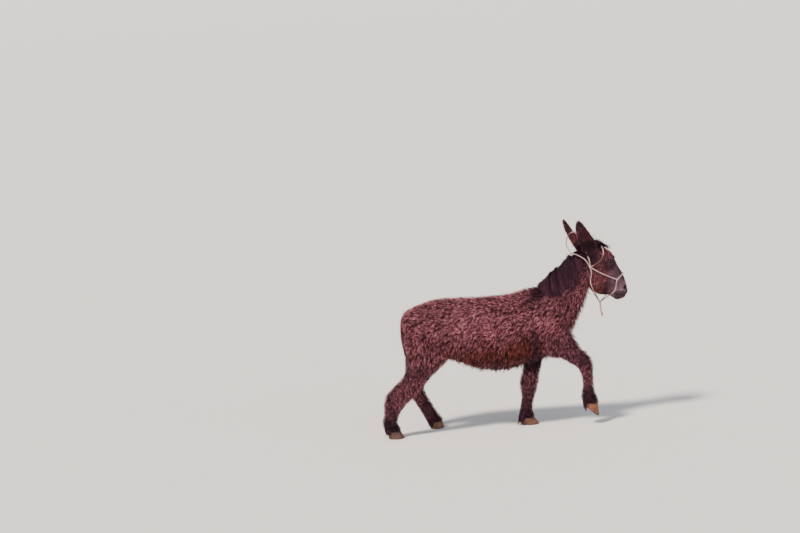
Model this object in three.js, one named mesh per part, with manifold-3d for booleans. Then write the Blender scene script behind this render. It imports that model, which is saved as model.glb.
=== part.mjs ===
// A young shaggy donkey, life size, standing in mid step with its right fore foot
// lifted, and wearing a rope halter. Millimetres, +X forward, +Y to its left, +Z up,
// the floor at Z = 0. The origin is the middle of the model's bounding box, at the floor.
import * as THREE from "three";
import { mergeVertices } from "three/addons/utils/BufferGeometryUtils.js";
import Module from "manifold-3d";

const wasm = await Module();
wasm.setup();

// ---- driving dimensions (mm) ----
const GAP = 0.3; // clearance between two nodes that touch
const HEAD_TURN = THREE.MathUtils.degToRad(10); // the face looks a little to the left
const TURN_PIVOT_X = 790; // where the neck lets the head turn
const EYE = { x: 998, z: 1344, radius: 21, depth: 13 };
const EARS = {
  right: { base: [874, -58, 1420], tip: [745, -118, 1714], faces: [0.5, -0.85, 0.2] },
  left: { base: [842, 58, 1425], tip: [678, 108, 1708], faces: [0.85, -0.4, 0.35] },
};
const EAR = { halfWidth: 74, halfThickness: 31, bend: 14, wall: 6 };
const ROPE_RADIUS = 4.5;
const ROPE_SIDES = 6;
const ROPE_STEP = 36;
const ROPE_END_LENGTH = 105; // the free end of the halter rope, under the chin knot
const ROPE_END_RADIUS = 8.5;
const HOOF_WIDEST = 0.1; // how far forward of its middle a hoof is widest
const CORE_SHARE = 0.5; // the share of the coat's depth that the core under the locks fills
const ROOT_DEPTH = 14; // how deep a lock's root sits in the core
const FLOOR_CLEARANCE = 4; // hair ends this far above the floor
const ROPE_REST = ROPE_RADIUS + 3; // from the skin to the middle of a strand
const KNOT_RADIUS = 11;
const SIDES = [["right", -1], ["left", 1]];
const TAIL_ROOM = 12; // the coat keeps this clear of the tail

// Every form of the body is a row of slices. A slice is given by its upper or front edge
// point (ax, az), its lower or back edge point (bx, bz), its place across the body y, its
// half width, how far its widest place is moved towards a, and the depth of coat on it.
// The edges are those of the coat's tips.
const TORSO = [
  [-752, 985, -752, 800, 0, 95, 0, 34],
  [-738, 1040, -715, 745, 0, 160, 0, 34],
  [-660, 1085, -640, 708, 0, 205, 0.05, 34],
  [-560, 1118, -540, 670, 0, 232, 0.05, 34],
  [-450, 1143, -430, 632, 0, 245, 0, 34],
  [-310, 1144, -310, 598, 0, 256, -0.05, 36],
  [-160, 1140, -160, 533, 0, 272, -0.1, 38],
  [0, 1139, 0, 502, 0, 278, -0.12, 38],
  [130, 1146, 130, 503, 0, 268, -0.12, 38],
  [250, 1167, 240, 530, 0, 246, -0.1, 36],
  [350, 1189, 350, 560, 0, 224, -0.08, 36],
  [430, 1190, 450, 585, 0, 208, -0.05, 34],
  [510, 1165, 550, 615, 0, 192, 0, 34],
  [570, 1100, 625, 670, 0, 160, 0, 34],
  [600, 1030, 668, 745, 0, 110, 0, 34],
];
const NECK = [
  [330, 1180, 600, 700, 0, 168, -0.15, 34],
  [420, 1222, 668, 785, 0, 150, -0.2, 34],
  [500, 1268, 710, 870, 0, 132, -0.2, 32],
  [575, 1318, 750, 945, 0, 117, -0.2, 32],
  [640, 1380, 783, 1015, 0, 105, -0.15, 30],
  [695, 1438, 806, 1085, 0, 96, -0.1, 28],
  [750, 1475, 835, 1140, 0, 90, 0, 24],
  [810, 1488, 870, 1200, 0, 84, 0, 18],
  [880, 1490, 900, 1240, 0, 80, 0, 14],
];
const HEAD = [
  [735, 1450, 752, 1280, 0, 66, 0, 14],
  [800, 1484, 790, 1235, 0, 80, 0, 14],
  [862, 1503, 822, 1168, 0, 94, 0, 14],
  [925, 1494, 845, 1120, 0, 103, 0.1, 14],
  [985, 1462, 885, 1084, 0, 105, 0.18, 12],
  [1035, 1422, 925, 1068, 0, 98, 0.22, 10],
  [1062, 1360, 958, 1062, 0, 82, 0.18, 8],
  [1089, 1298, 984, 1056, 0, 68, 0.08, 7],
  [1119, 1240, 1002, 1048, 0, 60, 0, 6],
  [1139, 1185, 1018, 1036, 0, 57, 0, 4],
  [1150, 1130, 1036, 1024, 0, 60, 0, 3],
  [1154, 1085, 1065, 1014, 0, 56, 0, 3],
  [1143, 1042, 1100, 1014, 0, 38, 0, 3],
];
const LEGS = {
  front_right: [
    [640, 900, 400, 850, -118, 62, 0, 30],
    [668, 790, 402, 700, -135, 78, 0, 30],
    [700, 700, 440, 630, -142, 80, 0, 28],
    [728, 640, 530, 606, -142, 72, 0, 26],
    [768, 610, 605, 560, -140, 64, 0, 24],
    [800, 565, 672, 512, -138, 58, 0, 20],
    [808, 512, 706, 462, -136, 55, 0, 18],
    [806, 452, 720, 420, -135, 47, 0, 16],
    [804, 385, 727, 368, -134, 42, 0, 14],
    [806, 315, 722, 308, -134, 42, 0, 14],
    [816, 262, 706, 252, -134, 47, 0, 16],
    [828, 222, 712, 214, -134, 45, 0, 14],
    [838, 180, 724, 188, -134, 48, 0, 5],
  ],
  front_left: [
    [560, 880, 330, 850, 118, 60, 0, 30],
    [520, 730, 285, 690, 116, 74, 0, 30],
    [450, 610, 252, 570, 104, 70, 0, 28],
    [404, 540, 243, 508, 94, 62, 0, 26],
    [376, 450, 228, 438, 80, 56, 0, 20],
    [354, 370, 204, 366, 66, 55, 0, 18],
    [336, 300, 206, 292, 58, 50, 0, 16],
    [310, 240, 212, 240, 52, 42, 0, 14],
    [292, 175, 200, 172, 46, 42, 0, 14],
    [284, 130, 188, 124, 42, 47, 0, 16],
    [290, 92, 186, 84, 38, 46, 0, 12],
    [298, 64, 190, 58, 36, 50, 0, 5],
  ],
  hind_right: [
    [-330, 870, -768, 965, -112, 96, 0, 34],
    [-318, 725, -762, 850, -128, 98, 0, 34],
    [-372, 664, -738, 748, -138, 90, 0, 32],
    [-455, 592, -732, 652, -143, 80, 0, 28],
    [-530, 530, -748, 572, -146, 70, 0, 24],
    [-602, 450, -796, 502, -149, 58, 0, 22],
    [-684, 370, -864, 440, -152, 52, 0, 20],
    [-757, 304, -930, 372, -154, 52, 0, 18],
    [-808, 250, -950, 318, -155, 46, 0, 16],
    [-840, 204, -955, 252, -156, 42, 0, 14],
    [-856, 165, -962, 196, -157, 43, 0, 14],
    [-860, 130, -976, 142, -158, 48, 0, 16],
    [-848, 96, -962, 92, -158, 46, 0, 12],
    [-838, 70, -948, 60, -158, 49, 0, 5],
  ],
  hind_left: [
    [-340, 860, -750, 900, 112, 94, 0, 34],
    [-370, 720, -752, 790, 128, 94, 0, 34],
    [-420, 630, -752, 680, 136, 86, 0, 32],
    [-500, 540, -756, 580, 141, 74, 0, 28],
    [-570, 455, -765, 480, 144, 60, 0, 24],
    [-612, 385, -772, 400, 147, 55, 0, 20],
    [-608, 325, -752, 340, 148, 52, 0, 18],
    [-584, 262, -706, 268, 149, 46, 0, 16],
    [-554, 205, -664, 196, 150, 42, 0, 14],
    [-528, 155, -636, 138, 150, 43, 0, 14],
    [-502, 115, -616, 98, 151, 48, 0, 16],
    [-484, 86, -600, 74, 152, 47, 0, 12],
    [-476, 66, -588, 56, 152, 48, 0, 5],
  ],
};
// The slice of each leg at its knee or hock, where the leg's node ends and the shank's starts.
const JOINT_SLICE = { front_right: 6, front_left: 5, hind_right: 7, hind_left: 5 };
// The last slice of each hoof, its sole: toe point, heel point and half width.
const SOLES = {
  front_right: [842, 52, 718, 172, 60],
  front_left: [345, 0, 194, 0, 60],
  hind_right: [-800, 0, -938, 0, 58],
  hind_left: [-460, 0, -584, 0, 56],
};
const TAIL = [
  [-726, 1040, -706, 990, 0, 26, 0, 8],
  [-763, 1000, -730, 972, 0, 25, 0, 10],
  [-780, 940, -738, 936, 0, 24, 0, 12],
  [-782, 860, -740, 860, 0, 22, 0, 12],
  [-770, 780, -730, 776, 0, 20, 0, 12],
  [-750, 700, -710, 694, 0, 22, 0, 14],
  [-742, 610, -690, 604, 0, 27, 0, 22],
  [-738, 520, -686, 518, 0, 27, 0, 24],
  [-722, 440, -698, 440, 0, 12, 0, 10],
];
// The halter's strands in the side view, from knot to knot, and the bow in space.
const HALTER = {
  crown: [[831, 1325], [797, 1385], [760, 1420], [734, 1430]],
  crest: [700, 1440],
  poll: [[831, 1325], [828, 1385], [808, 1450]],
  pollTop: [796, 1490],
  brow: [[831, 1325], [885, 1352], [930, 1390], [952, 1440]],
  browTop: [945, 1485],
  cheek: [[831, 1325], [878, 1290], [925, 1262], [990, 1226], [1053, 1193]],
  nose: [[1053, 1193], [1085, 1213]],
  bridge: [1116, 1230],
  jaw: [[1053, 1193], [1046, 1160], [1040, 1127], [1025, 1090]],
  throat: [[831, 1325], [840, 1270], [834, 1220], [842, 1160]],
  chin: [915, 1005],
  bow: [[672, 8, 1490], [664, 16, 1530], [680, 24, 1582], [716, 26, 1612], [752, 24, 1600]],
};
// Planes that part the body: two points in the side view and the side kept.
const HEAD_CUT = { top: [786, 1560], bottom: [834, 1080] };
const NECK_CUT = { top: [338, 1260], bottom: [668, 700] };
const HIND_CUT = { front: [-250, 556], back: [-820, 773], startX: -240 };
const FORE_CUT = { front: [900, 700], back: [225, 520], startX: 225, bellyZ: 494 };
const SMOOTHING = 2.2; // facets of the coat that stray less than this are merged
const SLIVER = 0.1; // and those that cuts leave
const REACH = 2200; // larger than the model

// How many sides and rings each form's surface has.
const GRIDS = {
  torso: [20, 13],
  neck: [16, 8],
  head: [18, 16],
  leg: [9, 13],
  tail: [10, 13],
  hoof: [14, 4],
  eye: [12, 8],
  lids: [12, 7],
  knot: [8, 5],
};

// The coat's clumps on each form: how many along and round it, between which shares of
// its length, their length, half width and half thickness, and the way the hair lies.
const COATS = {
  torso: { along: 6, round: 7, from: 0.07, to: 0.9, size: [170, 70, 12], lie: [-0.75, -0.66] },
  neck: { along: 3, round: 5, from: 0.18, to: 0.8, size: [150, 56, 10], lie: [-0.45, -0.9] },
  upper: { along: 2, round: 4, from: 0.24, to: 0.54, size: [120, 36, 8], lie: [-0.25, -0.97] },
  lower: { along: 1, round: 3, from: 0.6, to: 0.76, size: [110, 27, 7], lie: [-0.1, -1] },
};
// Long hair: the mane along the crest, the forelock, the feather behind each fetlock and
// the tuft of the tail. Sizes are length, half width and half thickness, and for the mane
// how high it stands off the neck.
const MANE = { count: 10, from: 0.1, to: 0.86, size: [16, 30, 6] };
const FORELOCKS = [
  [[846, -12, 1478], [852, -14, 1590], [922, -16, 1594]],
  [[868, 10, 1478], [886, 12, 1548], [940, 14, 1550]],
  [[885, -22, 1480], [955, -24, 1536], [1004, -20, 1474]],
  [[880, 24, 1480], [940, 30, 1530], [985, 34, 1486]],
  [[905, 0, 1474], [968, 0, 1516], [1010, 4, 1462]],
];
const FORELOCK = [15, 5];
const FEATHER = { count: 3, size: [68, 22, 6], lift: 10 };
const TAIL_TUFT = { count: 7, from: 0.62, to: 0.9, size: [85, 12, 5] };

// Small forms of the head, in the side view and away from its middle plane.
const BROW = { at: [1020, 1385], y: 52, radii: [31, 21, 20] };
const CHEEK = { at: [908, 1200], y: 62, radii: [66, 26, 100], slant: 0.35 };
const LIDS = { grow: 5, opening: [17, 60, 9.5], slant: 0.42 };
const NOSTRIL = { at: [1122, 1128], slant: -0.5 };
const NOSTRIL_RIM = { y: 31, radii: [25, 17, 19] };
const NOSTRIL_HOLE = { y: 46, radii: [14, 15, 7.5] };
const CHIN = { at: [1066, 1034], radii: [34, 30, 24] };
const MOUTH = { from: [1050, 1079], to: [1150, 1046], depth: 9, width: 2.4 };

const COLOURS = {
  torso: 0x6b4038,
  neck: 0x4d3238,
  head: 0x5d3a38,
  leg: 0x4a2f33,
  shank: 0x3a2730,
  tail: 0x3a2a30,
  ear: 0x3b2b30,
  eye: 0x120c0a,
  hoof: 0x9a6a4c,
  halter: 0xd9b8b0,
  halter_end: 0x9c7364,
};

// ---- solids ----
function toSolid(geometry) {
  const bare = geometry.clone();
  bare.deleteAttribute("normal");
  bare.deleteAttribute("uv");
  const merged = mergeVertices(bare, 1e-3);
  const triVerts = new Uint32Array(merged.index.array);
  const make = () =>
    new wasm.Manifold(
      new wasm.Mesh({
        numProp: 3,
        vertProperties: new Float32Array(merged.attributes.position.array),
        triVerts,
      }),
    );
  const solid = make();
  if (solid.volume() > 0) return solid;
  for (let i = 0; i < triVerts.length; i += 3) {
    [triVerts[i + 1], triVerts[i + 2]] = [triVerts[i + 2], triVerts[i + 1]];
  }
  return make();
}

const fuse = (solids) => wasm.Manifold.union(solids);

// The largest closed surface of a solid, without the slivers that cuts leave.
function largestBody(solid) {
  const bodies = solid.decompose();
  const largest = bodies.reduce((best, one) => (one.volume() > best.volume() ? one : best));
  return largest.simplify(SLIVER);
}

// The turn of the head about the upright line where it meets the neck.
function turnHead(point) {
  const dx = (point.x - TURN_PIVOT_X) / Math.cos(HEAD_TURN);
  const { y } = point;
  point.x = TURN_PIVOT_X + dx * Math.cos(HEAD_TURN) - y * Math.sin(HEAD_TURN);
  point.y = dx * Math.sin(HEAD_TURN) + y * Math.cos(HEAD_TURN);
  return point;
}

// A form through the slices of a table, smooth between them. roundStart and roundEnd say
// over which share of the length it closes in at its ends; 0 is a flat end.
class Form {
  constructor(slices, options = {}) {
    const { roundStart = 0.1, roundEnd = 0.1, turned = false, core = CORE_SHARE } = options;
    Object.assign(this, { slices, roundStart, roundEnd, turned, core });
  }

  // The slice at share t of the length, each of its numbers on a Catmull-Rom curve.
  slice(t) {
    const rows = this.slices;
    const place = THREE.MathUtils.clamp(t, 0, 1) * (rows.length - 1);
    const i = Math.min(Math.floor(place), rows.length - 2);
    const f = place - i;
    const at = (k) => rows[THREE.MathUtils.clamp(k, 0, rows.length - 1)];
    return rows[i].map((_, c) => {
      const [p0, p1, p2, p3] = [at(i - 1)[c], at(i)[c], at(i + 1)[c], at(i + 2)[c]];
      const v0 = (p2 - p0) / 2;
      const v1 = (p3 - p1) / 2;
      const cubic = (2 * p1 - 2 * p2 + v0 + v1) * f ** 3;
      return cubic + (3 * p2 - 3 * p1 - 2 * v0 - v1) * f ** 2 + v0 * f + p1;
    });
  }

  // A point on the coat's tips at share t and angle phi from edge a, moved out by `rise`,
  // or on the core if `onCore` is set.
  at(t, phi, rise = 0, onCore = false) {
    const [ax, az, bx, bz, y, halfWidth, widest, coat] = this.slice(t);
    const out = onCore ? rise - this.core * coat : rise;
    const centre = new THREE.Vector3((ax + bx) / 2, y, (az + bz) / 2);
    const up = new THREE.Vector3(ax - bx, 0, az - bz);
    const halfDepth = up.length() / 2;
    up.normalize();
    const close = (share, span) => {
      if (span === 0 || share >= span) return 1;
      return Math.sqrt(Math.max(0, 1 - (1 - share / span) ** 2));
    };
    const ring = Math.min(close(t, this.roundStart), close(1 - t, this.roundEnd));
    const along = new THREE.Vector3(-up.z, 0, up.x);
    const ahead = this.slice(t + 0.01);
    const behind = this.slice(t - 0.01);
    const runX = ahead[0] + ahead[2] - behind[0] - behind[2];
    const runZ = ahead[1] + ahead[3] - behind[1] - behind[3];
    if (along.x * runX + along.z * runZ < 0) along.negate();
    const push = Math.sqrt(1 - ring * ring) * out * (t < 0.5 ? -1 : 1);
    const c = Math.cos(phi);
    const v = c + widest * (1 - c * c);
    const point = centre
      .addScaledVector(up, ring * (halfDepth + out) * v)
      .addScaledVector(along, push)
      .add(new THREE.Vector3(0, ring * (halfWidth + out) * Math.sin(phi), 0));
    return this.turned ? turnHead(point) : point;
  }

  // How far along and round the surface a step in space goes, by least squares.
  step(t, phi, move) {
    const small = 0.01;
    const alongT = this.at(t + small, phi).sub(this.at(t - small, phi));
    const aroundPhi = this.at(t, phi + small).sub(this.at(t, phi - small));
    alongT.divideScalar(2 * small);
    aroundPhi.divideScalar(2 * small);
    const [a, b, c] = [alongT.dot(alongT), alongT.dot(aroundPhi), aroundPhi.dot(aroundPhi)];
    const [p, q] = [alongT.dot(move), aroundPhi.dot(move)];
    const scale = 1 / Math.max(a * c - b * b, 1e-3);
    const limit = (value, most) => THREE.MathUtils.clamp(value, -most, most);
    return [limit((c * p - b * q) * scale, 0.3), limit((a * q - b * p) * scale, 1.2)];
  }

  // The closed solid of the core, from a sphere grid whose rows become slices.
  solid(rise, sides, rings) {
    const grid = new THREE.SphereGeometry(1, sides, rings);
    const place = grid.attributes.position;
    const first = this.roundStart === 0 ? 1 : 0;
    const last = this.roundEnd === 0 ? rings - 1 : rings;
    for (let row = 0; row <= rings; row++) {
      const t = THREE.MathUtils.clamp((row - first) / (last - first), 0, 1);
      for (let column = 0; column <= sides; column++) {
        const pole = row === 0 || row === rings;
        const phi = ((column % sides) / sides) * 2 * Math.PI;
        let point = this.at(t, phi, rise, true);
        if (pole) {
          const bottom = this.at(t, Math.PI, rise, true);
          point = this.at(t, 0, rise, true).add(bottom).multiplyScalar(0.5);
        }
        place.setXYZ(row * (sides + 1) + column, point.x, point.y, point.z);
      }
    }
    return toSolid(grid);
  }
}

function ball(centre, radius, sides, rings) {
  const sphere = new THREE.SphereGeometry(radius, sides, rings);
  sphere.translate(centre.x, centre.y, centre.z);
  return toSolid(sphere);
}

// ---- regions that part the body ----
// The half space to the left of the way from one side-view point to another, as a box
// with one face on the plane through them. `out` moves that face outwards.
function halfSpace([x1, z1], [x2, z2], out, { yFrom = -REACH, yTo = REACH } = {}) {
  const box = new THREE.BoxGeometry(REACH, yTo - yFrom, 2 * REACH);
  box.translate(REACH / 2 - out, (yFrom + yTo) / 2, 0);
  box.rotateY(Math.atan2(x1 - x2, z1 - z2));
  box.translate((x1 + x2) / 2, 0, (z1 + z2) / 2);
  return toSolid(box);
}

const headRegion = (out) => halfSpace(HEAD_CUT.top, HEAD_CUT.bottom, out);
const neckRegion = (out) => halfSpace(NECK_CUT.top, NECK_CUT.bottom, out);

// A leg's region: below its slanting cut, on its own side and on its own half of the
// length, and for a foreleg all that is lower than the belly.
function legRegion(name, out) {
  const right = name.endsWith("right");
  const hind = name.startsWith("hind");
  const cut = hind ? HIND_CUT : FORE_CUT;
  const yFrom = right ? -REACH : GAP / 2 - out;
  const yTo = right ? out - GAP / 2 : REACH;
  const below = halfSpace(cut.front, cut.back, out, { yFrom, yTo });
  const half = new THREE.BoxGeometry(REACH, 2 * REACH, 2 * REACH);
  half.translate(cut.startX + (hind ? out - REACH / 2 : REACH / 2 - out), 0, 0);
  const limb = below.intersect(toSolid(half));
  if (hind) return limb;
  const lower = new THREE.BoxGeometry(REACH, yTo - yFrom, REACH);
  lower.translate(REACH / 2 - out, (yFrom + yTo) / 2, cut.bellyZ + out - REACH / 2);
  return limb.add(toSolid(lower));
}

// The part of a limb beyond one of its slices, from edge to edge of that slice.
function beyondSlice([ax, az, bx, bz], out) {
  return halfSpace([ax, az], [bx, bz], out);
}

// ---- flesh ----
const torsoForm = new Form(TORSO);
const neckForm = new Form(NECK, { roundStart: 0.12 });
const headForm = new Form(HEAD, { roundStart: 0.15, roundEnd: 0.08, turned: true, core: 0 });
const tailForm = new Form(TAIL, { roundEnd: 0.14 });
const legNames = Object.keys(LEGS);
const legForms = {};
for (const name of legNames) {
  legForms[name] = new Form(LEGS[name], { roundStart: 0.12, roundEnd: 0 });
}

function bodyOf(rise) {
  return [
    torsoForm.solid(rise, ...GRIDS.torso),
    neckForm.solid(rise, ...GRIDS.neck),
    headForm.solid(rise, ...GRIDS.head),
    ...Object.values(legForms).map((form) => form.solid(rise, ...GRIDS.leg)),
  ];
}

function asMesh(solid) {
  const mesh = new THREE.Mesh(geometryOf(solid), new THREE.MeshStandardMaterial());
  mesh.material.side = THREE.DoubleSide;
  return mesh;
}

function geometryOf(solid) {
  const data = solid.getMesh();
  const geometry = new THREE.BufferGeometry();
  const place = new THREE.BufferAttribute(new Float32Array(data.vertProperties), 3);
  geometry.setAttribute("position", place);
  geometry.setIndex(new THREE.BufferAttribute(new Uint32Array(data.triVerts), 1));
  return geometry;
}

// ---- the head's small forms ----
// A turned ellipsoid at a side-view place on both sides, slanting in the side view.
function pair([x, z], y, radii, slant = 0, sides = 8, rings = 5) {
  const halves = [-1, 1].map((sign) => {
    const bulb = new THREE.SphereGeometry(1, sides, rings);
    bulb.scale(...radii);
    bulb.rotateY(slant);
    bulb.translate(x, sign * y, z);
    return turnedSolid(bulb);
  });
  return halves[0].add(halves[1]);
}

function turnedSolid(geometry) {
  const place = geometry.attributes.position;
  const point = new THREE.Vector3();
  for (let i = 0; i < place.count; i++) {
    turnHead(point.fromBufferAttribute(place, i));
    place.setXYZ(i, point.x, point.y, point.z);
  }
  return toSolid(geometry);
}

function mouthCut() {
  const [[x1, z1], [x2, z2]] = [MOUTH.from, MOUTH.to];
  const length = Math.hypot(x2 - x1, z2 - z1);
  const slab = new THREE.BoxGeometry(length, 200, MOUTH.width);
  slab.rotateY(Math.atan2(z1 - z2, x2 - x1));
  slab.translate((x1 + x2) / 2, 0, (z1 + z2) / 2);
  return turnedSolid(slab).subtract(headForm.solid(-MOUTH.depth, ...GRIDS.head));
}

function smallForms(rise) {
  const grown = (radii) => radii.map((radius) => radius + rise);
  return fuse([
    pair(BROW.at, BROW.y, grown(BROW.radii)),
    pair(CHEEK.at, CHEEK.y, grown(CHEEK.radii), CHEEK.slant),
    pair(NOSTRIL.at, NOSTRIL_RIM.y, grown(NOSTRIL_RIM.radii), NOSTRIL.slant),
    pair(CHIN.at, 0, grown(CHIN.radii)),
  ]);
}

// The middle of an eye, set `depth` into the head from its surface.
function eyeCentre(sign) {
  const surface = fromSide([EYE.x, EYE.z], sign, 0);
  const middle = turnHead(new THREE.Vector3(EYE.x, 0, EYE.z));
  return surface.addScaledVector(middle.sub(surface).normalize(), EYE.depth);
}

const core = fuse([...bodyOf(0), smallForms(0)]).simplify(SLIVER);
const coreMesh = asMesh(core);

// ---- locks ----
// Draws between -1 and 1 from a seed, the same in each run.
function drawer(seed) {
  let state = seed;
  return () => {
    state = (state * 1664525 + 1013904223) % 4294967296;
    return state / 2147483648 - 1;
  };
}

// A flat tapered lock whose middle passes `bend`, with four sides and a point at each end.
function lock(root, bend, tip, normal, halfWidth, halfThickness, rings = 4) {
  const grid = new THREE.SphereGeometry(1, 4, rings);
  const place = grid.attributes.position;
  const middle = bend.clone().multiplyScalar(2);
  middle.addScaledVector(root, -0.5).addScaledVector(tip, -0.5);
  const path = new THREE.QuadraticBezierCurve3(root, middle, tip);
  for (let row = 0; row <= rings; row++) {
    const s = row / rings;
    const centre = path.getPoint(s);
    const along = path.getTangent(s);
    const across = new THREE.Vector3().crossVectors(normal, along).normalize();
    const outward = new THREE.Vector3().crossVectors(along, across);
    const swell = row === 0 || row === rings ? 0 : Math.sqrt(1.15 - s);
    for (let column = 0; column <= 4; column++) {
      const phi = ((column % 4) * Math.PI) / 2;
      const point = centre.clone();
      point.addScaledVector(across, swell * halfWidth * Math.cos(phi));
      point.addScaledVector(outward, swell * halfThickness * Math.sin(phi));
      place.setXYZ(row * 5 + column, point.x, point.y, point.z);
    }
  }
  return toSolid(grid);
}

// The outermost point of the core over a form's surface, lifted to the tips of its coat,
// with the way outwards there; nothing where another form covers it by more than `cover`.
function overCore(form, t, phi, cover) {
  const from = form.at(t, phi, 240);
  const under = form.at(t, phi, 0, true);
  const way = under.clone().sub(from).normalize();
  const hit = new THREE.Raycaster(from, way).intersectObject(coreMesh)[0];
  if (!hit || hit.point.distanceTo(under) > cover) return null;
  return { point: hit.point, outward: way.negate(), coat: form.slice(t)[7] * form.core };
}

// One lock from a place on a form, lying along `lie` and lifted by `lift` at its tip.
function growLock(form, t, phi, size, lie, draw, lift = 0) {
  const root = overCore(form, t, phi, 24);
  if (!root) return null;
  const length = size[0] * (1 + 0.15 * draw());
  const turn = 0.3 * draw();
  const way = new THREE.Vector3(lie[0], 0, lie[1]).applyAxisAngle(root.outward, turn);
  const [dt, dPhi] = form.step(t, phi, way.multiplyScalar(length));
  const bend = overCore(form, t + 0.5 * dt, phi + 0.5 * dPhi, REACH);
  const tip = overCore(form, t + dt, phi + dPhi, REACH);
  if (!bend || !tip || tip.point.distanceTo(root.point) > 1.4 * length) return null;
  const halfWidth = size[1] * (1 + 0.12 * draw());
  return lock(
    root.point.addScaledVector(root.outward, -ROOT_DEPTH),
    bend.point.addScaledVector(bend.outward, bend.coat - size[2] + 2),
    tip.point.addScaledVector(tip.outward, tip.coat * 0.8 + lift),
    bend.outward,
    halfWidth,
    size[2],
  );
}

function coatOf(form, coat, seed) {
  const draw = drawer(seed);
  const locks = [];
  for (let row = 0; row < coat.along; row++) {
    for (let column = 0; column < coat.round; column++) {
      const share = (row + 0.5 + 0.2 * draw()) / coat.along;
      const t = coat.from + (coat.to - coat.from) * share;
      const around = (column + (row % 2) / 2 + 0.2 * draw()) / coat.round;
      locks.push(growLock(form, t, around * 2 * Math.PI, coat.size, coat.lie, draw));
    }
  }
  return locks;
}

// The mane: locks rooted along the crest that lie over one side of the neck, most of
// them over the right.
function maneLocks() {
  const draw = drawer(7);
  const [stand, halfWidth, halfThickness] = MANE.size;
  const locks = [];
  for (let i = 0; i < MANE.count; i++) {
    const t = MANE.from + ((MANE.to - MANE.from) * i) / (MANE.count - 1);
    const fall = (i % 4 === 3 ? 1 : -1) * (1 + 0.12 * draw());
    const root = neckForm.at(t, 0, -ROOT_DEPTH, true);
    const bend = neckForm.at(t - 0.02, 0.42 * fall, stand);
    const tip = neckForm.at(t - 0.07, fall, 2);
    const outward = bend.clone().sub(neckForm.at(t - 0.02, 0.42 * fall)).normalize();
    locks.push(lock(root, bend, tip, outward, halfWidth, halfThickness, 5));
  }
  return locks;
}

function forelockLocks() {
  return FORELOCKS.map((points) => {
    const [root, bend, tip] = points.map((p) => turnHead(new THREE.Vector3(...p)));
    return lock(root, bend, tip, new THREE.Vector3(-0.7, 0.2, 0.7), ...FORELOCK, 5);
  });
}

// The feather behind a fetlock, fanned over the back of the joint.
function featherLocks(name, seed) {
  const draw = drawer(seed);
  const form = legForms[name];
  const last = LEGS[name].length - 1;
  const locks = [];
  for (let i = 0; i < FEATHER.count; i++) {
    const t = (last - 1.9 + 0.35 * draw()) / last;
    const phi = Math.PI + 1.5 * ((i + 0.5) / FEATHER.count - 0.5) * 2;
    const foot = form.at(1, phi).sub(form.at(0.86, phi));
    const lie = [foot.x / foot.length() - 0.15, foot.z / foot.length()];
    locks.push(growLock(form, t, phi, FEATHER.size, lie, draw, FEATHER.lift));
  }
  return locks;
}

function tailLocks() {
  const draw = drawer(23);
  const locks = [];
  for (let i = 0; i < TAIL_TUFT.count; i++) {
    const share = (i + 0.5) / TAIL_TUFT.count;
    const t = TAIL_TUFT.from + (TAIL_TUFT.to - TAIL_TUFT.from) * share;
    const phi = 2.4 * i;
    const [length, halfWidth, halfThickness] = TAIL_TUFT.size;
    const root = tailForm.at(t, phi, -8);
    const tip = tailForm.at(Math.min(1, t + 0.12), phi, -2);
    tip.z = root.z - length * (1 + 0.1 * draw());
    const bend = tailForm.at(t + 0.08, phi, 1);
    const outward = bend.clone().sub(tailForm.at(t + 0.08, phi, -10)).normalize();
    locks.push(lock(root, bend, tip, outward, halfWidth, halfThickness));
  }
  return locks;
}

const upperLocks = legNames.flatMap((name, i) => coatOf(legForms[name], COATS.upper, 41 + i));
const lowerLocks = legNames.flatMap((name, i) => coatOf(legForms[name], COATS.lower, 61 + i));
const feather = legNames.flatMap((name, i) => featherLocks(name, 81 + i));
const hair = [
  ...coatOf(torsoForm, COATS.torso, 11),
  ...coatOf(neckForm, COATS.neck, 31),
  ...upperLocks,
  ...lowerLocks,
  ...feather,
  ...maneLocks(),
  ...forelockLocks(),
].filter(Boolean);

// ---- ears ----
// A leaf-shaped cup along +Z, open towards +Y, then set between its base and its tip.
function earLeaf(halfWidth, halfThickness, from, to, shift) {
  const [sides, rings] = [10, 9];
  const grid = new THREE.SphereGeometry(1, sides, rings);
  const place = grid.attributes.position;
  for (let row = 0; row <= rings; row++) {
    const s = from + ((to - from) * row) / rings;
    const leaf = Math.min(1, 0.6 + 2 * s) * (1 - 0.54 * s ** 1.6) * Math.sqrt(1 - s ** 12);
    const end = Math.sin(Math.PI * Math.min(1, (row / rings) * 4) * 0.5);
    const closing = row === 0 || row === rings ? 0 : end;
    const thick = halfThickness * Math.sqrt(1.02 - s);
    const bend = EAR.bend * Math.sin(Math.PI * s);
    for (let column = 0; column <= sides; column++) {
      const phi = ((column % sides) / sides) * 2 * Math.PI;
      const x = closing * halfWidth * leaf * Math.cos(phi);
      const y = closing * thick * Math.sin(phi) + shift * thick;
      place.setXYZ(row * (sides + 1) + column, x, y - bend, s);
    }
  }
  return grid;
}

function earSolid({ base, tip, faces }, out) {
  const root = turnHead(new THREE.Vector3(...base));
  const axis = turnHead(new THREE.Vector3(...tip)).sub(root);
  const length = axis.length();
  axis.normalize();
  const open = new THREE.Vector3(...faces).projectOnPlane(axis).normalize();
  const across = new THREE.Vector3().crossVectors(open, axis);
  const frame = new THREE.Matrix4().makeBasis(across, open, axis.multiplyScalar(length));
  frame.setPosition(root);
  const outer = earLeaf(EAR.halfWidth + out, EAR.halfThickness + out, 0, 1, 0);
  const leaf = toSolid(outer.applyMatrix4(frame));
  if (out > 0) return leaf;
  const cup = earLeaf(EAR.halfWidth - EAR.wall, EAR.halfThickness, 0.3, 0.95, 0.75);
  return leaf.subtract(toSolid(cup.applyMatrix4(frame)));
}

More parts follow.
